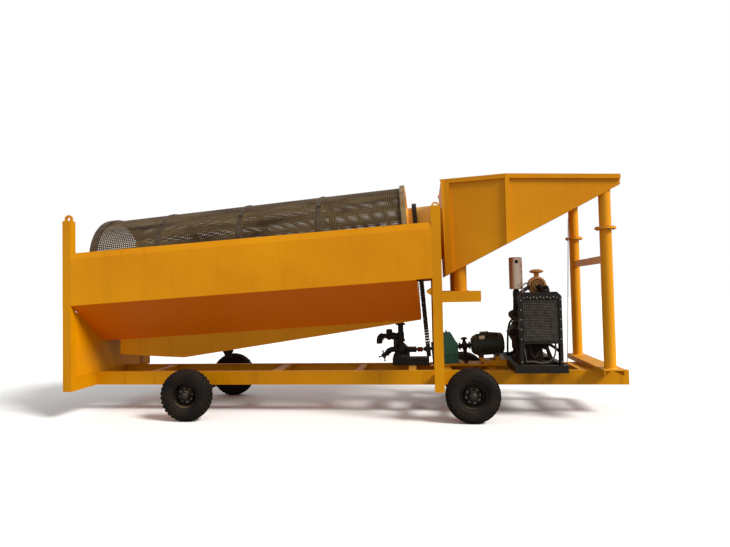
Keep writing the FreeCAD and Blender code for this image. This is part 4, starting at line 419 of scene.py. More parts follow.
# %% [markdown]
# ## Workshop tools
# Most fittings are turned, sawn from bar or bent from pipe. So there are three small tools:
# a lathe that spins an outline round an axis, a block with broken edges, and a bolt. A last
# one closes the mesh, shades it, paints it and hangs it on the body that carries it.


# %% Lathe, block, rod and bolt
def aim(at, out):
    way = Vector(out).to_track_quat("Z", "Y").to_matrix().to_4x4()
    return Matrix.Translation(Vector(at)) @ way


def lathe(bm, rows, at, out, steps=40):
    # A row is a distance along the axis and a radius
    frame_at = aim(at, out)
    verts = [bm.verts.new(frame_at @ Vector((r, 0, a))) for a, r in rows]
    edges = [bm.edges.new(pair) for pair in zip(verts, verts[1:])]
    bmesh.ops.spin(bm, geom=verts + edges, cent=Vector(at), axis=Vector(out).normalized(),
                   angle=2 * pi, steps=steps, use_merge=True)


def block(bm, low, high, edge=0.004, turned=None):
    low, high = Vector(low), Vector(high)
    size = Matrix.Diagonal((high.x - low.x, high.y - low.y, high.z - low.z, 1))
    place = Matrix.Translation((low + high) / 2) @ size
    made = bmesh.ops.create_cube(bm, size=1, matrix=(turned or Matrix()) @ place)
    edges = list({e for v in made["verts"] for e in v.link_edges})
    if edge:
        bmesh.ops.bevel(bm, geom=edges, offset=edge, affect="EDGES", segments=2, profile=0.5,
                        material=-1)


def rod(bm, start, end, r, steps=12):
    start, end = Vector(start), Vector(end)
    mid = aim((start + end) / 2, end - start)
    bmesh.ops.create_cone(bm, cap_ends=True, segments=steps, radius1=r, radius2=r,
                          depth=(end - start).length, matrix=mid)


def bolt(bm, at, out, size=0.012):
    place = aim(at, out)
    washer, head = (1.0, 1.0, 0.0, 0.18, 12), (0.80, 0.72, 0.18, 0.75, 6)
    for wide, tip, low, high, sides in (washer, head):
        bmesh.ops.create_cone(bm, cap_ends=True, segments=sides, radius1=size * wide,
                              radius2=size * tip, depth=size * (high - low),
                              matrix=place @ Matrix.Translation((0, 0, size * (low + high) / 2)))


def ring_of_bolts(bm, at, out, r, count, size=0.012, start=0.0):
    place = aim(at, out)
    for i in range(count):
        a = start + 2 * pi * i / count
        bolt(bm, place @ Vector((r * cos(a), r * sin(a), 0)), out, size)


def piece(name, bm, coat, body, crisp=32):
    bmesh.ops.remove_doubles(bm, verts=bm.verts, dist=0.00002)
    bmesh.ops.recalc_face_normals(bm, faces=bm.faces)
    mesh = bpy.data.meshes.new(name)
    bm.to_mesh(mesh)
    bm.free()
    mesh.polygons.foreach_set("use_smooth", [True] * len(mesh.polygons))
    mesh.set_sharp_from_angle(angle=radians(crisp))
    mesh.materials.append(coat)
    obj = bpy.data.objects.new(name, mesh)
    bpy.context.collection.objects.link(obj)
    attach(obj, body)
    print(name, len(mesh.polygons), "faces")
    return obj


def bent(name, points, r, coat, body, sides=3):
    curve = bpy.data.curves.new(name, "CURVE")
    curve.dimensions = "3D"
    curve.bevel_depth = r
    curve.bevel_resolution = sides
    curve.use_fill_caps = True
    line = curve.splines.new("NURBS")
    line.points.add(len(points) - 1)
    for point, at in zip(line.points, points):
        point.co = (*at, 1)
    line.order_u = 3
    line.use_endpoint_u = True
    line.resolution_u = 8
    curve.materials.append(coat)
    obj = bpy.data.objects.new(name, curve)
    bpy.context.collection.objects.link(obj)
    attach(obj, body)
    return obj


# %% [markdown]
# ## Perforated drum
# The sieve is punched plate rolled into a cylinder. Punching it as real holes lets daylight
# through the far wall, which no painted texture does. So each cell of a flat grid gets an
# inset, the middle is taken out, and the sheet is thickened and rolled. There are thousands
# of holes, so each has only four sides.


# %% Screen plate with punched holes
def screen_plate(name, start, end, cell=0.036, web=0.0138, margin=0.035):
    r, thick = 0.840, 0.006
    around = round(2 * pi * r / cell)
    along = round((end - start - 2 * margin) / cell)
    wide, tall = end - start, 2 * pi * r
    bm = bmesh.new()
    flat = Matrix.Diagonal(((wide - 2 * margin) / 2, tall / 2, 1, 1))
    bmesh.ops.create_grid(bm, x_segments=along, y_segments=around, size=1, matrix=flat)
    cells = list(bm.faces)
    bmesh.ops.inset_individual(bm, faces=cells, thickness=web)
    bmesh.ops.delete(bm, geom=cells, context="FACES")
    # The plain margin at both ends grows from the outermost edges
    rims = [e for e in bm.edges if e.is_boundary
            and abs(abs(e.verts[0].co.x) - (wide / 2 - margin)) < 1e-4
            and abs(abs(e.verts[1].co.x) - (wide / 2 - margin)) < 1e-4]
    grown = bmesh.ops.extrude_edge_only(bm, edges=rims)["geom"]
    for v in grown:
        if isinstance(v, bmesh.types.BMVert):
            v.co.x += margin if v.co.x > 0 else -margin
    bmesh.ops.solidify(bm, geom=list(bm.faces), thickness=thick)
    # Rolling: y becomes the angle round the drum
    low = min(v.co.z for v in bm.verts)
    for v in bm.verts:
        a = v.co.y / r
        deep = r - thick + (v.co.z - low)
        v.co = Vector(((start + end) / 2 + v.co.x, deep * sin(a), -deep * cos(a)))
    bm.transform(DRUM)
    return piece(name, bm, screen, "drum", crisp=50)


SEAMS = (-3.010, -1.628, -0.312)
SECTIONS = [(-4.155, -3.010), (-2.944, -1.628), (-1.562, -0.312), (-0.246, 1.044)]
plates = [screen_plate("screen_plate_%d" % (i + 1), a, b) for i, (a, b) in enumerate(SECTIONS)]

# %% Seam strips under the bands
bm = bmesh.new()
for a in SEAMS:
    rows = [(a - 0.002, 0.8402), (a - 0.002, 0.8342), (a + 0.068, 0.8342), (a + 0.068, 0.8402),
            (a - 0.002, 0.8402)]
    lathe(bm, rows, (0, 0, 0), (1, 0, 0), 96)
bm.transform(DRUM)
plates.append(piece("seam_strips", bm, screen, "drum"))
for plate_piece in plates:
    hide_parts("drum_screen")

# %% [markdown]
# ## Bands and their bolts
# Two half rings clamp each joint of the drum, so every band has flanges where they meet and
# a row of bolts. They are small, but they catch the light when the drum turns.

# %% Band lugs and bolts
bm = bmesh.new()
for a in SEAMS:
    for turn_at in (0.25 * pi, 1.25 * pi):
        spin_to = Matrix.Rotation(turn_at, 4, "X")
        for gap in (-0.012, 0.012):
            block(bm, (a + 0.008, gap - 0.005, 0.846), (a + 0.058, gap + 0.005, 0.884), 0.002,
                  spin_to)
        rod(bm, spin_to @ Vector((a + 0.033, -0.030, 0.867)),
            spin_to @ Vector((a + 0.033, 0.030, 0.867)), 0.006, 8)
    for i in range(20):
        out = Matrix.Rotation(2 * pi * (i + 0.5) / 20, 4, "X") @ Vector((0, 0, 1))
        bolt(bm, Vector((a + 0.033, 0, 0)) + out * 0.851, out, 0.011)
for i in range(24):
    a = 2 * pi * i / 24
    bolt(bm, (1.124 - 0.0295, 0.60 * cos(a), 0.60 * sin(a)), (1, 0, 0), 0.013)
bm.transform(DRUM)
piece("band_bolts", bm, bolt_steel, "drum")

# %% [markdown]
# ## Roller chain
# A chain is links of two shapes that alternate, narrow and wide, each a pair of plates with
# pins through them. The path is the same tangent outline that the two sprockets ask for, so
# it is walked in equal steps and one link is set down, turned along the path, at each step.


# %% Chain links
def chain_path(r_big, r_small, cy, cz):
    # Two arcs and two straight runs; (cy, cz) is the centre of the small wheel
    dist, lean = hypot(cy, cz), atan2(cz, cy)
    tilt = acos((r_big - r_small) / dist)
    run = (dist ** 2 - (r_big - r_small) ** 2) ** 0.5
    parts = [("arc", 0, 0, r_big, lean + tilt, 2 * pi - 2 * tilt), ("run", run),
             ("arc", cy, cz, r_small, lean - tilt, 2 * tilt), ("run", run)]
    total = sum(p[3] * p[5] if p[0] == "arc" else p[1] for p in parts)

    # The place and the direction of travel at a distance along the path
    def at(d):
        d %= total
        for i, p in enumerate(parts):
            size = p[3] * p[5] if p[0] == "arc" else p[1]
            if d <= size:
                break
            d -= size
        if p[0] == "arc":
            a = p[4] + d / p[3]
            return Vector((0, p[1] + p[3] * cos(a), p[2] + p[3] * sin(a))), a + pi / 2
        a = parts[(i - 1) % 4]
        end = a[4] + a[5]
        start = Vector((0, a[1] + a[3] * cos(end), a[2] + a[3] * sin(end)))
        return start + Vector((0, cos(end + pi / 2), sin(end + pi / 2))) * d, end + pi / 2

    return at, total


def link_plates(bm, spot, angle, pitch, spots, thick=0.005):
    way = Matrix.Translation(spot) @ Matrix.Rotation(angle, 4, "X")
    for mid in spots:
        for end in (-1, 1):
            bmesh.ops.create_cone(
                bm, cap_ends=True, segments=10, radius1=0.016, radius2=0.016, depth=thick,
                matrix=way @ Matrix.Translation((mid, end * pitch / 2, 0))
                @ Matrix.Rotation(pi / 2, 4, "Y"))
        block(bm, (mid - thick / 2 + 0.0002, -pitch / 2, -0.0125),
              (mid + thick / 2 - 0.0002, pitch / 2, 0.0125), 0, way)


# Where the plates stand across the chain, for its wide links and its narrow ones
OUTER, INNER = (-0.0345, 0.0, 0.0345), (-0.029, -0.0056, 0.0056, 0.029)
bm = bmesh.new()
CHAIN_X, NOMINAL_PITCH, PIN_REACH = 1.250, 0.0508, 0.0378
path, total = chain_path(0.542, 0.116, LINE_Y, LINE_N)
count = 2 * round(total / NOMINAL_PITCH / 2)
pitch = total / count
for i in range(count):
    spot, angle = path(i * pitch)
    spot.x = CHAIN_X
    link_plates(bm, spot, angle, pitch, OUTER if i % 2 else INNER)
    pin, _ = path((i + 0.5) * pitch)
    pin.x = CHAIN_X
    reach = Vector((PIN_REACH, 0, 0))
    rod(bm, pin - reach, pin + reach, 0.0078, 8)
    for low in (-0.0262, 0.0084):
        rod(bm, pin + Vector((low, 0, 0)), pin + Vector((low + 0.0178, 0, 0)), 0.0158, 10)
bm.transform(DRUM)
chain = piece("chain_links", bm, oily, "chassis")
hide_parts("drive_chain")
print("links", count, "pitch", round(pitch * 1000, 1), "mm")

# %% [markdown]
# ## Tyres
# The carcass is one turned outline with a bead, a bulging wall, a wear line and a shoulder.
# The tread is four staggered rows of lugs. Each lug is a tapered block set on the crown, and
# the shoulder lugs also reach down the wall, as on tyres for soft ground.

# %% Tyres with lugs
WHEELS = {"rear_near": (REAR_X, -HUB_Y), "rear_far": (REAR_X, HUB_Y),
          "front_near": (FRONT_X, -HUB_Y), "front_far": (FRONT_X, HUB_Y)}
WALL = [(0.076, 0.2055), (0.084, 0.212), (0.090, 0.226), (0.094, 0.232), (0.0985, 0.262),
        (0.0995, 0.290), (0.0975, 0.312), (0.0995, 0.317), (0.0975, 0.322), (0.094, 0.345),
        (0.0885, 0.366), (0.078, 0.382), (0.058, 0.3885), (0.020, 0.391)]


def tyre(name, x, y):
    bm = bmesh.new()
    rows = [(a, r) for a, r in WALL] + [(-a, r) for a, r in reversed(WALL)]
    rows.append(rows[0])
    lathe(bm, rows, (0, 0, 0), (0, 1, 0), 72)
    count = 34
    for row, (mid, wide, long, skew) in enumerate(((-0.066, 0.036, 0.046, 0.0),
                                                   (-0.0215, 0.034, 0.050, 0.35),
                                                   (0.0215, 0.034, 0.050, -0.35),
                                                   (0.066, 0.036, 0.046, 0.0))):
        for i in range(count):
            a = 2 * pi * (i + 0.5 * (row % 2)) / count
            way = Matrix.Rotation(a, 4, "Y") @ Matrix.Translation((0, mid, 0.394))
            way = way @ Matrix.Rotation(skew, 4, "Z")
            top = 0.0083 if abs(mid) > 0.05 else 0.0103
            made = bmesh.ops.create_cube(bm, size=1, matrix=way @ Matrix.Diagonal(
                (long, wide, 2 * top, 1)))
            # A lug narrows upwards, and at the shoulder it goes on down the wall
            crown = [v for v in made["verts"] if Vector((v.co.x, 0, v.co.z)).length > 0.397]
            bmesh.ops.scale(bm, vec=(0.86, 0.86, 1.0), verts=crown,
                            space=way.inverted())
            if abs(mid) > 0.05:
                outer = [v for v in crown if abs(v.co.y) > 0.078]
                bmesh.ops.translate(bm, verts=outer, vec=way.to_3x3() @ Vector((0, 0, -0.006)))
                side = 1 if mid > 0 else -1
                wall = Matrix.Rotation(a, 4, "Y") @ Matrix.Translation((0, side * 0.090, 0.362))
                wall = wall @ Matrix.Rotation(side * 0.42, 4, "X")
                bmesh.ops.create_cube(bm, size=1, matrix=wall @ Matrix.Diagonal(
                    (0.030, 0.006, 0.034, 1)))
    bm.transform(Matrix.Translation((x, y, AXLE_Z)))
    obj = piece("tyre_lugged_" + name, bm, tyre_rubber, "wheel_" + name, crisp=28)
    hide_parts("tyre_" + name)


for name, (x, y) in WHEELS.items():
    tyre(name, x, y)

# %% [markdown]
# ## Wheel nuts and hubs
# Site wheels are held by a ring of nuts on long studs, with a pressed cap over the bearing
# and a valve through the dish. The far and near wheels mirror each other, so the same cell
# makes all four, with the outward direction as its only change.

# %% Nuts, caps and valves
for name, (x, y) in WHEELS.items():
    out = 1 if y > 0 else -1
    bm = bmesh.new()
    place = aim((x, y, AXLE_Z), (0, out, 0))
    for i in range(8):
        a = 2 * pi * i / 8 + 0.2
        spot = place @ Vector((0.104 * cos(a), 0.104 * sin(a), 0.023))
        bolt(bm, spot, (0, out, 0), 0.015)
        rod(bm, spot, spot + Vector((0, out * 0.020, 0)), 0.007, 8)
    rod(bm, place @ Vector((0.150, 0, -0.012)), place @ Vector((0.162, 0, 0.040)), 0.004, 8)
    piece("wheel_nuts_" + name, bm, bolt_steel, "wheel_" + name)
    bm = bmesh.new()
    rows = [(0.080, 0.0), (0.080, 0.050), (0.090, 0.050), (0.096, 0.045), (0.103, 0.030),
            (0.105, 0.0)]
    lathe(bm, rows, (x, y, AXLE_Z), (0, out, 0), 32)
    ring_of_bolts(bm, place @ Vector((0, 0, 0.083)), (0, out, 0), 0.058, 6, 0.006)
    piece("hub_cap_" + name, bm, oily, "wheel_" + name)

# %% [markdown]
# ## Axle clamps
# An axle beam hangs from the rails by pairs of U-bolts, which can be taken off when a beam
# is bent. A plate under the beam closes each pair, and nuts stand on the rail's low flange.

# %% U-bolts and plates
bm = bmesh.new()
for x in (REAR_X, FRONT_X):
    for side_y in (-1, 1):
        for dx in (-0.068, 0.068):
            for dy in (0.412, 0.452):
                rod(bm, (x + dx, side_y * dy, 0.326), (x + dx, side_y * dy, 0.496), 0.007, 8)
                bolt(bm, (x + dx, side_y * dy, 0.477), (0, 0, 1), 0.013)
                bolt(bm, (x + dx, side_y * dy, 0.338), (0, 0, -1), 0.013)
        low, high = sorted((side_y * 0.392, side_y * 0.472))
        block(bm, (x - 0.092, low, 0.338), (x + 0.092, high, 0.3495), 0.002)
piece("axle_clamps", bm, oily, "chassis")

# %% [markdown]
# ## Drive line fasteners
# The reducer, its bearing block and the motor are bolted down along the drum's own slope, so
# their fittings are set out in the drum's frame and turned with it. The split of a gear case
# has a bolt every few centimetres, because it has to hold oil.

# %% Reducer and bearing block
bm = bmesh.new()
for a in (1.446, 1.734):
    for y in (0.074, 0.426):
        bolt(bm, (a, y, LINE_N - 0.238), (0, 0, 1), 0.013)
for a in (1.440, 1.498, 1.556, 1.614, 1.672, 1.730):
    for y in (0.0795, 0.4205):
        bolt(bm, (a, y, LINE_N - 0.078), (0, 0, 1), 0.008)
for a in (1.537, 1.633):
    for y in (0.172, 0.250, 0.328):
        bolt(bm, (a, y, LINE_N + 0.258), (0, 0, 1), 0.007)
lathe(bm, [(0, 0), (0, 0.012), (0.018, 0.012), (0.018, 0.020), (0.034, 0.018), (0.036, 0)],
      (1.585, LINE_Y, LINE_N + 0.258), (0, 0, 1), 20)
for a, up_n in ((1.500, -0.030), (1.690, -0.190)):
    lathe(bm, [(0, 0), (0, 0.017), (0.006, 0.017), (0.006, 0.011), (0.014, 0.010), (0.014, 0)],
          (a, 0.0905, LINE_N + up_n), (0, -1, 0), 20)
for a in (1.322, 1.368):
    for up_n in (-0.036, 0.036):
        bolt(bm, (a, 0.181, LINE_N + up_n), (0, -1, 0), 0.009)
rod(bm, (1.345, LINE_Y, LINE_N + 0.106), (1.345, LINE_Y, LINE_N + 0.124), 0.005, 8)
bm.transform(DRUM)
piece("reducer_bolts", bm, bolt_steel, "chassis")

# %% Motor and coupling
bm = bmesh.new()
for a, out in ((1.7995, 1), (1.9485, -1)):
    ring_of_bolts(bm, (a, LINE_Y, LINE_N), (out, 0, 0), 0.053, 6, 0.007)
for a in (2.135, 2.392):
    for y in (0.092, 0.408):
        bolt(bm, (a, y, LINE_N - 0.167), (0, 0, 1), 0.014)
for a in (2.170, 2.280):
    for y in (0.274, 0.346):
        bolt(bm, (a, y, LINE_N + 0.208), (0, 0, 1), 0.006)
ring_of_bolts(bm, (2.012, LINE_Y, LINE_N), (-1, 0, 0), 0.128, 8, 0.008, 0.3)
for r in (0.030, 0.056, 0.082, 0.108):
    rows = [(0.546, r - 0.002), (0.550, r), (0.546, r + 0.002), (0.544, r),
            (0.546, r - 0.002)]
    lathe(bm, rows, (1.985, LINE_Y, LINE_N), (1, 0, 0), 40)
rod(bm, (2.292, 0.31, LINE_N + 0.184), (2.326, 0.31, LINE_N + 0.184), 0.014, 12)
bm.transform(DRUM)
piece("motor_bolts", bm, bolt_steel, "chassis")
cable = [DRUM @ Vector((a, y, LINE_N + n)) for a, y, n in (
    (2.322, 0.31, 0.184), (2.40, 0.31, 0.184), (2.46, 0.40, 0.12), (2.47, 0.46, -0.02),
    (2.50, 0.455, -0.22), (2.60, 0.44, -0.250))]
bent("motor_cable", cable, 0.009, hose_rubber, "chassis")

# %% [markdown]
# A thin pale sheet lies against the barrel of the motor, in the space between two fins. A
# small screw holds each corner.

# %% Motor plate
plate_white = enamel("blank_plate", tone(214, 206, 186), wave=0.1, dirt=0.6, chips=0.3)
bm = bmesh.new()
facing = Matrix.Translation((0, LINE_Y, LINE_N)) @ Matrix.Rotation(radians(46), 4, "X")
block(bm, (2.118, -0.036, 0.1845), (2.214, 0.036, 0.1885), 0.001, facing)
for x in (2.124, 2.208):
    for y in (-0.030, 0.030):
        bolt(bm, facing @ Vector((x, y, 0.1885)), facing.to_3x3() @ Vector((0, 0, 1)), 0.004)
bm.transform(DRUM)
piece("motor_plate", bm, plate_white, "chassis")

# %% [markdown]
# ## Pump, pipes and valves
# Flanged pipework shows bolts at every joint and a handle on every valve. The handles here are
# crosses of two bars on a spindle, within reach from the near side. A rubber sleeve in red joins
# the pump's shaft to the drive.

# %% Pump bolts and valve handles
bm = bmesh.new()
ring_of_bolts(bm, (0.864, LINE_Y, PUMP_Z), (1, 0, 0), 0.060, 6, 0.008)
ring_of_bolts(bm, (0.836, LINE_Y, PUMP_Z), (-1, 0, 0), 0.060, 6, 0.008)
ring_of_bolts(bm, (0.8905, LINE_Y, PUMP_Z), (-1, 0, 0), 0.117, 10, 0.009)
ring_of_bolts(bm, (0.920, LINE_Y, 1.126), (0, 0, 1), 0.063, 6, 0.008)
ring_of_bolts(bm, (0.920, LINE_Y, 1.094), (0, 0, -1), 0.063, 6, 0.008)
ring_of_bolts(bm, (0.800, LINE_Y, 1.185), (-1, 0, 0), 0.049, 6, 0.007)
for x in (0.930, 1.040):
    for y in (0.155, 0.345):
        bolt(bm, (x, y, 0.831), (0, 0, 1), 0.011)
for x, z, lean in ((0.655, 1.185, 0.90), (0.628, 0.852, 0.20)):
    for turn_by in (0, pi / 2):
        way = Vector((cos(lean + turn_by), 0, sin(lean + turn_by))) * 0.086
        at = Vector((x, 0.136, z))
        rod(bm, at - way, at + way, 0.011, 10)
    bolt(bm, (x, 0.128, z), (0, -1, 0), 0.016)
    rod(bm, (x, LINE_Y, z), (x, 0.130, z), 0.012, 12)
    for turn_by in (0, pi / 2, pi, 1.5 * pi):
        tip = at + Vector((cos(lean + turn_by), 0, sin(lean + turn_by))) * 0.084
        rod(bm, tip - Vector((0, 0.014, 0)), tip + Vector((0, 0.012, 0)), 0.015, 10)
piece("pump_bolts", bm, oily, "chassis")

# %% Valve bodies, packing bar and the pump's cast foot
bm = bmesh.new()
lathe(bm, [(0, 0.034), (0, 0.062), (0.014, 0.062), (0.018, 0.046), (0.050, 0.060),
           (0.100, 0.064), (0.150, 0.052), (0.160, 0.046), (0.160, 0.060), (0.176, 0.060),
           (0.176, 0.046), (0.215, 0.044), (0.215, 0.034), (0, 0.034)],
      (0.868, LINE_Y, 1.185), (-1, 0, 0), 28)
lathe(bm, [(0, 0), (0, 0.050), (0.020, 0.056), (0.060, 0.056), (0.080, 0.040), (0.080, 0)],
      (0.720, LINE_Y, 1.225), (0, 0, 1), 24)
block(bm, (0.792, 0.180, 0.985), (0.880, 0.320, 1.150), 0.024)
lathe(bm, [(0, 0), (0, 0.125), (0.030, 0.125), (0.110, 0.080), (0.150, 0.070), (0.150, 0)],
      (0.905, LINE_Y, 0.8145), (0, 0, 1), 28)
slope = Vector((-cos(radians(42)), 0, -sin(radians(42))))
lathe(bm, [(0, 0), (0, 0.040), (0.020, 0.050), (0.050, 0.050), (0.064, 0.040), (0.140, 0.037),
           (0.150, 0.037), (0.150, 0.050), (0.166, 0.050), (0.166, 0.034), (0.190, 0.034),
           (0.190, 0)], Vector((0.735, LINE_Y, PUMP_Z)), slope, 28)
block(bm, (0.776, 0.132, 0.6885), (1.404, 0.178, 0.7475), 0.003)
piece("pump_castings", bm, black, "chassis")
pressure = [(x, LINE_Y, z) for x, z in ((0.66, 1.185), (0.60, 1.188), (0.548, 1.170),
                                        (0.535, 1.120), (0.535, 1.052))]
bent("pipe_bend", pressure, 0.043, black, "chassis", 5)
suction = [(x, LINE_Y, PUMP_Z + z) for x, z in ((0.835, 0), (0.780, 0.004),
                                                (0.735, -0.004), (0.700, -0.034))]
bent("suction_bend", suction, 0.047, black, "chassis", 5)
bm = bmesh.new()
lathe(bm, [(0.000, 0.040), (0.000, 0.0436), (0.024, 0.0436), (0.030, 0.040), (0.040, 0.040),
           (0.046, 0.0436), (0.070, 0.0436), (0.070, 0.040), (0.000, 0.040)],
      (1.2155, LINE_Y, PUMP_Z), (1, 0, 0), 32)
piece("pump_sleeve", bm, red, "chassis")

# %% [markdown]
# ## Hopper legs
# Each leg is two lengths of pipe joined by a flange, so that the hopper can be taken off for
# the road. Eight bolts hold a flange, and a bead of weld runs round the foot.

# %% Leg flanges and foot welds
bm = bmesh.new()
for y in (-LEG_Y, LEG_Y):
    ring_of_bolts(bm, (LEG_X, y, 2.856), (0, 0, 1), 0.118, 8, 0.016)
    ring_of_bolts(bm, (LEG_X, y, 2.824), (0, 0, -1), 0.118, 8, 0.016)
piece("leg_bolts", bm, bolt_steel, "chassis")
bm = bmesh.new()
for y in (-LEG_Y, LEG_Y):
    lathe(bm, [(0, 0.0835), (0, 0.094), (0.007, 0.088), (0.010, 0.0835), (0, 0.0835)],
          (LEG_X, y, 0.7695), (0, 0, 1), 28)
    lathe(bm, [(0, 0.0835), (0, 0.091), (0.006, 0.0835), (0, 0.0835)],
          (LEG_X, y, 2.8558), (0, 0, 1), 28)
piece("leg_welds", bm, leg_yellow_lit_copy, "chassis")

# %% [markdown]
# ## Radiator and its guard
# A guard of thin pale wires keeps stones out of the core. The wires lie in a frame of strip,
# and small bolts hold the frame down both sides and in a staggered row along the top tank.

# %% Guard wires and bolts
bm = bmesh.new()
x_low, x_high, z_low, z_high = 2.842, 3.333, 1.184, 1.786
for i in range(20):
    x = x_low + (x_high - x_low) * i / 19
    rod(bm, (x, -0.7565, 1.162), (x, -0.7565, 1.808), 0.0021, 4)
for i in range(26):
    z = z_low + (z_high - z_low) * i / 25
    rod(bm, (2.822, -0.760, z), (3.353, -0.760, z), 0.0021, 4)
piece("radiator_guard", bm, bolt_steel, "chassis")
bm = bmesh.new()
for low, high in (((2.822, 1.161), (2.834, 1.809)), ((3.341, 1.161), (3.353, 1.809)),
                  ((2.822, 1.161), (3.353, 1.173)), ((2.822, 1.797), (3.353, 1.809))):
    block(bm, (low[0], -0.765, low[1]), (high[0], -0.752, high[1]), 0.001)
piece("guard_frame", bm, black, "chassis")
bm = bmesh.new()
for i in range(11):
    bolt(bm, (2.845 + 0.0485 * i, -0.770, 1.829 + (0.008 if i % 2 else -0.006)), (0, -1, 0),
         0.0105)
for x in (2.797, 3.378):
    for i in range(5):
        bolt(bm, (x, -0.770, 1.200 + 0.148 * i), (0, -1, 0), 0.0115)
    bolt(bm, (x, -0.770, 0.86), (0, -1, 0), 0.012)
piece("radiator_bolts", bm, bright, "chassis")

# %% [markdown]
# ## Hoses and pipes
# Hoses bring the water: one from the tank over the fan to the head, one from the foot of the
# core to the pump, and drains that hang below. They are pipes bent along a few points.

# %% Hoses and pipes
grey_hose = rubber("grey_hose", tone(70, 66, 60), tone(96, 82, 64), 0.4)
HOSES = [
    ("hose_top", 0.026, hose_rubber,
     ((3.22, -0.70, 1.90), (3.22, -0.69, 1.975), (3.20, -0.62, 2.0), (3.12, -0.52, 1.80),
      (3.10, -0.46, 1.66), (3.10, -0.40, 1.60))),
    ("hose_low", 0.024, hose_rubber,
     ((3.365, -0.66, 1.02), (3.40, -0.58, 0.98), (3.38, -0.44, 1.02), (3.26, -0.38, 1.10),
      (3.22, -0.30, 1.12))),
    ("hose_drain_a", 0.013, grey_hose,
     ((3.30, -0.72, 1.14), (3.30, -0.75, 0.98), (3.22, -0.76, 0.86), (3.08, -0.76, 0.835),
      (2.96, -0.75, 0.87), (2.86, -0.72, 0.85))),
    ("hose_drain_b", 0.009, hose_rubber,
     ((2.92, -0.74, 1.14), (2.92, -0.75, 0.99), (2.99, -0.74, 0.91), (3.06, -0.70, 0.98),
      (3.08, -0.62, 1.12))),
    ("cleaner_elbow", 0.048, hose_rubber,
     ((3.165, -0.345, 1.985), (3.170, -0.44, 1.975), (3.195, -0.46, 1.90),
      (3.205, -0.42, 1.76), (3.200, -0.36, 1.70))),
    ("fuel_pipe", 0.006, bright,
     ((2.90, -0.30, 1.36), (2.86, -0.34, 1.42), (2.87, -0.42, 1.30), (2.88, -0.46, 1.10),
      (2.90, -0.50, 0.90), (2.92, -0.50, 0.81))),
    ("air_pipe", 0.012, bright,
     ((3.02, -0.34, 2.04), (2.95, -0.40, 2.06), (2.88, -0.52, 2.02), (2.85, -0.62, 1.96),
      (2.85, -0.70, 1.90))),
]
for name, r, coat, points in HOSES:
    bent(name, points, r, coat, "chassis")

# %% [markdown]
# ## Round the engine
# What hangs on a diesel engine's flanks makes it read as one: injection pump with a pipe to
# each cylinder, filters, starter, dynamo with its belt, and a bolt in every cover.

# %% Engine fittings
bm = bmesh.new()
for i in range(4):
    y = -0.46 + 0.1725 * (i + 0.5)
    bolt(bm, (ENGINE_X, y, 1.6495), (0, 0, 1), 0.012)
    for x in (2.965, 3.155):
        bolt(bm, (x, y, 1.5595), (0, 0, 1), 0.011)
    for z in (1.478, 1.552):
        bolt(bm, (2.915, y, z), (-1, 0, 0), 0.009)
for i in range(9):
    y = -0.42 + 0.075 * i
    for out in (-1, 1):
        bolt(bm, (ENGINE_X + out * 0.170, y, 1.105), (out, 0, 0), 0.008)
        bolt(bm, (ENGINE_X + out * 0.132, y, 1.415), (out, 0, 0), 0.008)
ring_of_bolts(bm, (ENGINE_X, -0.525, SHAFT_Z), (0, -1, 0), 0.034, 6, 0.008)
ring_of_bolts(bm, (ENGINE_X, 0.276, SHAFT_Z), (0, -1, 0), 0.222, 14, 0.010)
ring_of_bolts(bm, (CAN_X, CAN_Y, 1.593), (0, 0, 1), 0.044, 4, 0.008)
piece("engine_bolts", bm, bolt_steel, "chassis")

# %% Fuel pump, filters, starter and dynamo
bm = bmesh.new()
lathe(bm, [(0, 0), (0, 0.030), (0.010, 0.045), (0.20, 0.045), (0.21, 0.034), (0.26, 0.034),
           (0.26, 0)], (2.852, -0.30, 1.24), (0, 1, 0), 24)
block(bm, (2.828, -0.24, 1.26), (2.876, -0.06, 1.325), 0.006)
for i in range(4):
    rod(bm, (2.852, -0.22 + 0.046 * i, 1.32), (2.852, -0.22 + 0.046 * i, 1.345), 0.008, 8)
for y in (-0.08, 0.06):
    lathe(bm, [(0, 0), (0, 0.030), (0.012, 0.042), (0.120, 0.042), (0.124, 0.046),
               (0.146, 0.046), (0.152, 0.030), (0.152, 0)], (3.262, y, 1.20), (0, 0, 1), 24)
    block(bm, (3.20, y - 0.02, 1.335), (3.27, y + 0.02, 1.352), 0.003)
lathe(bm, [(0, 0), (0, 0.040), (0.012, 0.058), (0.19, 0.058), (0.20, 0.050), (0.22, 0.050),
           (0.22, 0)], (3.290, -0.10, 1.02), (0, 1, 0), 28)
lathe(bm, [(0, 0), (0, 0.030), (0.008, 0.052), (0.15, 0.052), (0.158, 0.040), (0.158, 0)],
      (2.838, -0.44, 1.30), (0, 1, 0), 28)
lathe(bm, [(0, 0), (0, 0.050), (0.014, 0.078), (0.30, 0.078), (0.314, 0.050), (0.314, 0)],
      (2.752, -0.40, 1.265), (0, 1, 0), 28)
lathe(bm, [(0, 0), (0, 0.040), (0.010, 0.052), (0.17, 0.052), (0.18, 0.036), (0.20, 0.036),
           (0.20, 0)], (2.748, -0.46, 1.035), (0, 0, 1), 24)
block(bm, (2.742, -0.55, 1.640), (2.800, -0.46, 1.745), 0.008)
block(bm, (2.715, -0.50, 1.392), (2.800, -0.36, 1.452), 0.010)
block(bm, (2.770, -0.50, 0.803), (2.800, -0.40, 1.250), 0.006)
piece("engine_flank", bm, iron, "chassis")

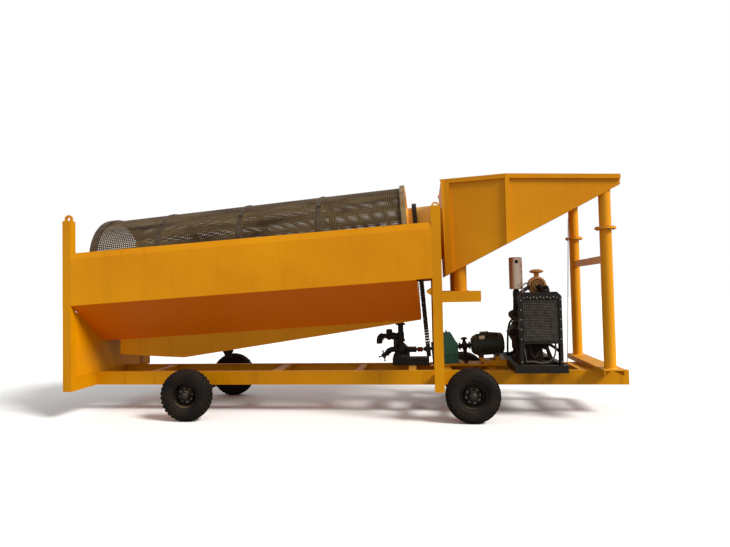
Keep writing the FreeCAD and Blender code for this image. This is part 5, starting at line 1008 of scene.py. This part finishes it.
# %% Injector pipes
PIPES = [((2.852, -0.22 + 0.046 * i, 1.34), (2.846, -0.24 + 0.06 * i, 1.40),
          (2.866, -0.36 + 0.16 * i, 1.43), (2.925, -0.374 + 0.1725 * i, 1.462))
         for i in range(4)]
for i, points in enumerate(PIPES):
    bent("injector_pipe_%d" % (i + 1), points, 0.0035, bright, "chassis", 2)

# %% Fan belt
bm = bmesh.new()
way, total = chain_path(0.079, 0.040, -0.222, 0.120)
steps = 60
rings = []
for i in range(steps):
    at, turn_at = way(total * i / steps)
    out = Vector((sin(turn_at), 0, -cos(turn_at)))
    mid = Vector((ENGINE_X + at.y, -0.507, SHAFT_Z + at.z))
    rings.append([bm.verts.new(mid + out * a + Vector((0, b, 0)))
                  for a, b in ((-0.004, -0.004), (0.004, -0.006), (0.004, 0.006),
                               (-0.004, 0.004))])
for i in range(steps):
    a, b = rings[i], rings[(i + 1) % steps]
    for k in range(4):
        bm.faces.new((a[k], a[(k + 1) % 4], b[(k + 1) % 4], b[k]))
lathe(bm, [(0, 0), (0, 0.042), (0.006, 0.036), (0.012, 0.042), (0.012, 0)],
      (2.838, -0.513, 1.30), (0, 1, 0), 28)
rod(bm, (2.838, -0.51, 1.30), (2.838, -0.43, 1.30), 0.010, 12)
piece("fan_belt", bm, hose_rubber, "chassis")

# %% Generator lid, louvres and cables
bm = bmesh.new()
for x in (2.945, 3.175):
    for y in (0.452, 0.738):
        bolt(bm, (x, y, 1.5755), (0, 0, 1), 0.009)
for i in range(16):
    way = Matrix.Translation((ENGINE_X, 0.905, SHAFT_Z))
    way = way @ Matrix.Rotation(2 * pi * i / 16, 4, "Y")
    block(bm, (0.118, -0.002, -0.011), (0.166, 0.010, 0.011), 0.003, way)
ring_of_bolts(bm, (ENGINE_X, 0.398, SHAFT_Z), (0, -1, 0), 0.222, 10, 0.010)
piece("generator_fittings", bm, oily, "chassis")
for i in range(3):
    points = [(2.905, 0.50 + 0.05 * i, 1.44), (2.86, 0.50 + 0.05 * i, 1.43),
              (2.80, 0.51 + 0.05 * i, 1.30), (2.78, 0.50 + 0.05 * i, 0.95),
              (2.78, 0.50 + 0.05 * i, 0.80)]
    bent("generator_cable_%d" % (i + 1), points, 0.010, hose_rubber, "chassis")

# %% [markdown]
# ## Exhaust and air cleaner
# The pipe below the chromed can is lagged against the heat and starts at a turbocharger, a
# turbine and a blower on one shaft, each in its own snail. The cleaner's round end shows
# the pressed rings that stiffen it, and a wing nut through the middle holds the bowl on.

# %% Lagging, turbocharger, rings and wing nut
lagging = rubber("pipe_lagging", tone(44, 30, 20), tone(96, 70, 50), 0.8)
bm = bmesh.new()
rows = [(1.60, 0.034), (1.60, 0.048), (1.64, 0.053), (1.70, 0.050), (1.76, 0.056), (1.82, 0.051),
        (1.88, 0.055), (1.93, 0.050), (1.952, 0.044), (1.952, 0.034), (1.60, 0.034)]
lathe(bm, rows, (CAN_X, CAN_Y, 0), (0, 0, 1), 28)
lathe(bm, [(0, 0.020), (0, 0.058), (0.030, 0.076), (0.070, 0.076), (0.086, 0.050),
           (0.130, 0.046), (0.150, 0.066), (0.186, 0.066), (0.200, 0.044), (0.200, 0)],
      (2.742, -0.50, 1.560), (0, 1, 0), 32)
block(bm, (2.742, -0.41, 1.535), (2.815, -0.36, 1.585), 0.010)
block(bm, (2.762, -0.49, 1.400), (2.810, -0.42, 1.500), 0.008)
piece("exhaust_lagging", bm, lagging, "chassis")
bent("turbo_pipe", ((2.742, -0.51, 1.56), (2.742, -0.56, 1.60), (2.75, -0.56, 1.78),
                            (2.84, -0.52, 1.90), (2.96, -0.40, 1.97), (3.03, -0.30, 2.0)),
             0.030, hose_rubber, "chassis")
bm = bmesh.new()
for r, wide in ((0.040, 0.007), (0.068, 0.006), (0.095, 0.009)):
    lathe(bm, [(-0.0035, r - wide), (0.0035, r - wide + 0.002), (0.0035, r + wide - 0.002),
               (-0.0035, r + wide), (-0.0035, r - wide)], (3.14, -0.360, 2.015), (0, -1, 0), 48)
lathe(bm, [(-0.010, 0.1395), (-0.010, 0.1425), (0.010, 0.1425), (0.010, 0.1395),
           (-0.010, 0.1395)], (3.14, -0.28, 2.015), (0, -1, 0), 48)
rod(bm, (3.14, -0.358, 2.015), (3.14, -0.384, 2.015), 0.008, 10)
block(bm, (3.108, -0.382, 2.008), (3.172, -0.376, 2.022), 0.003)
piece("cleaner_rings", bm, black, "chassis")

# %% Stay rod of the diesel set
bm = bmesh.new()
rod(bm, (3.462, -0.740, 0.80), (3.540, -0.740, 3.02), 0.006, 10)
for z in (0.806, 0.830):
    bolt(bm, (3.462, -0.740, z), (0, 0, 1), 0.012)
piece("stay_rod", bm, bright, "chassis")
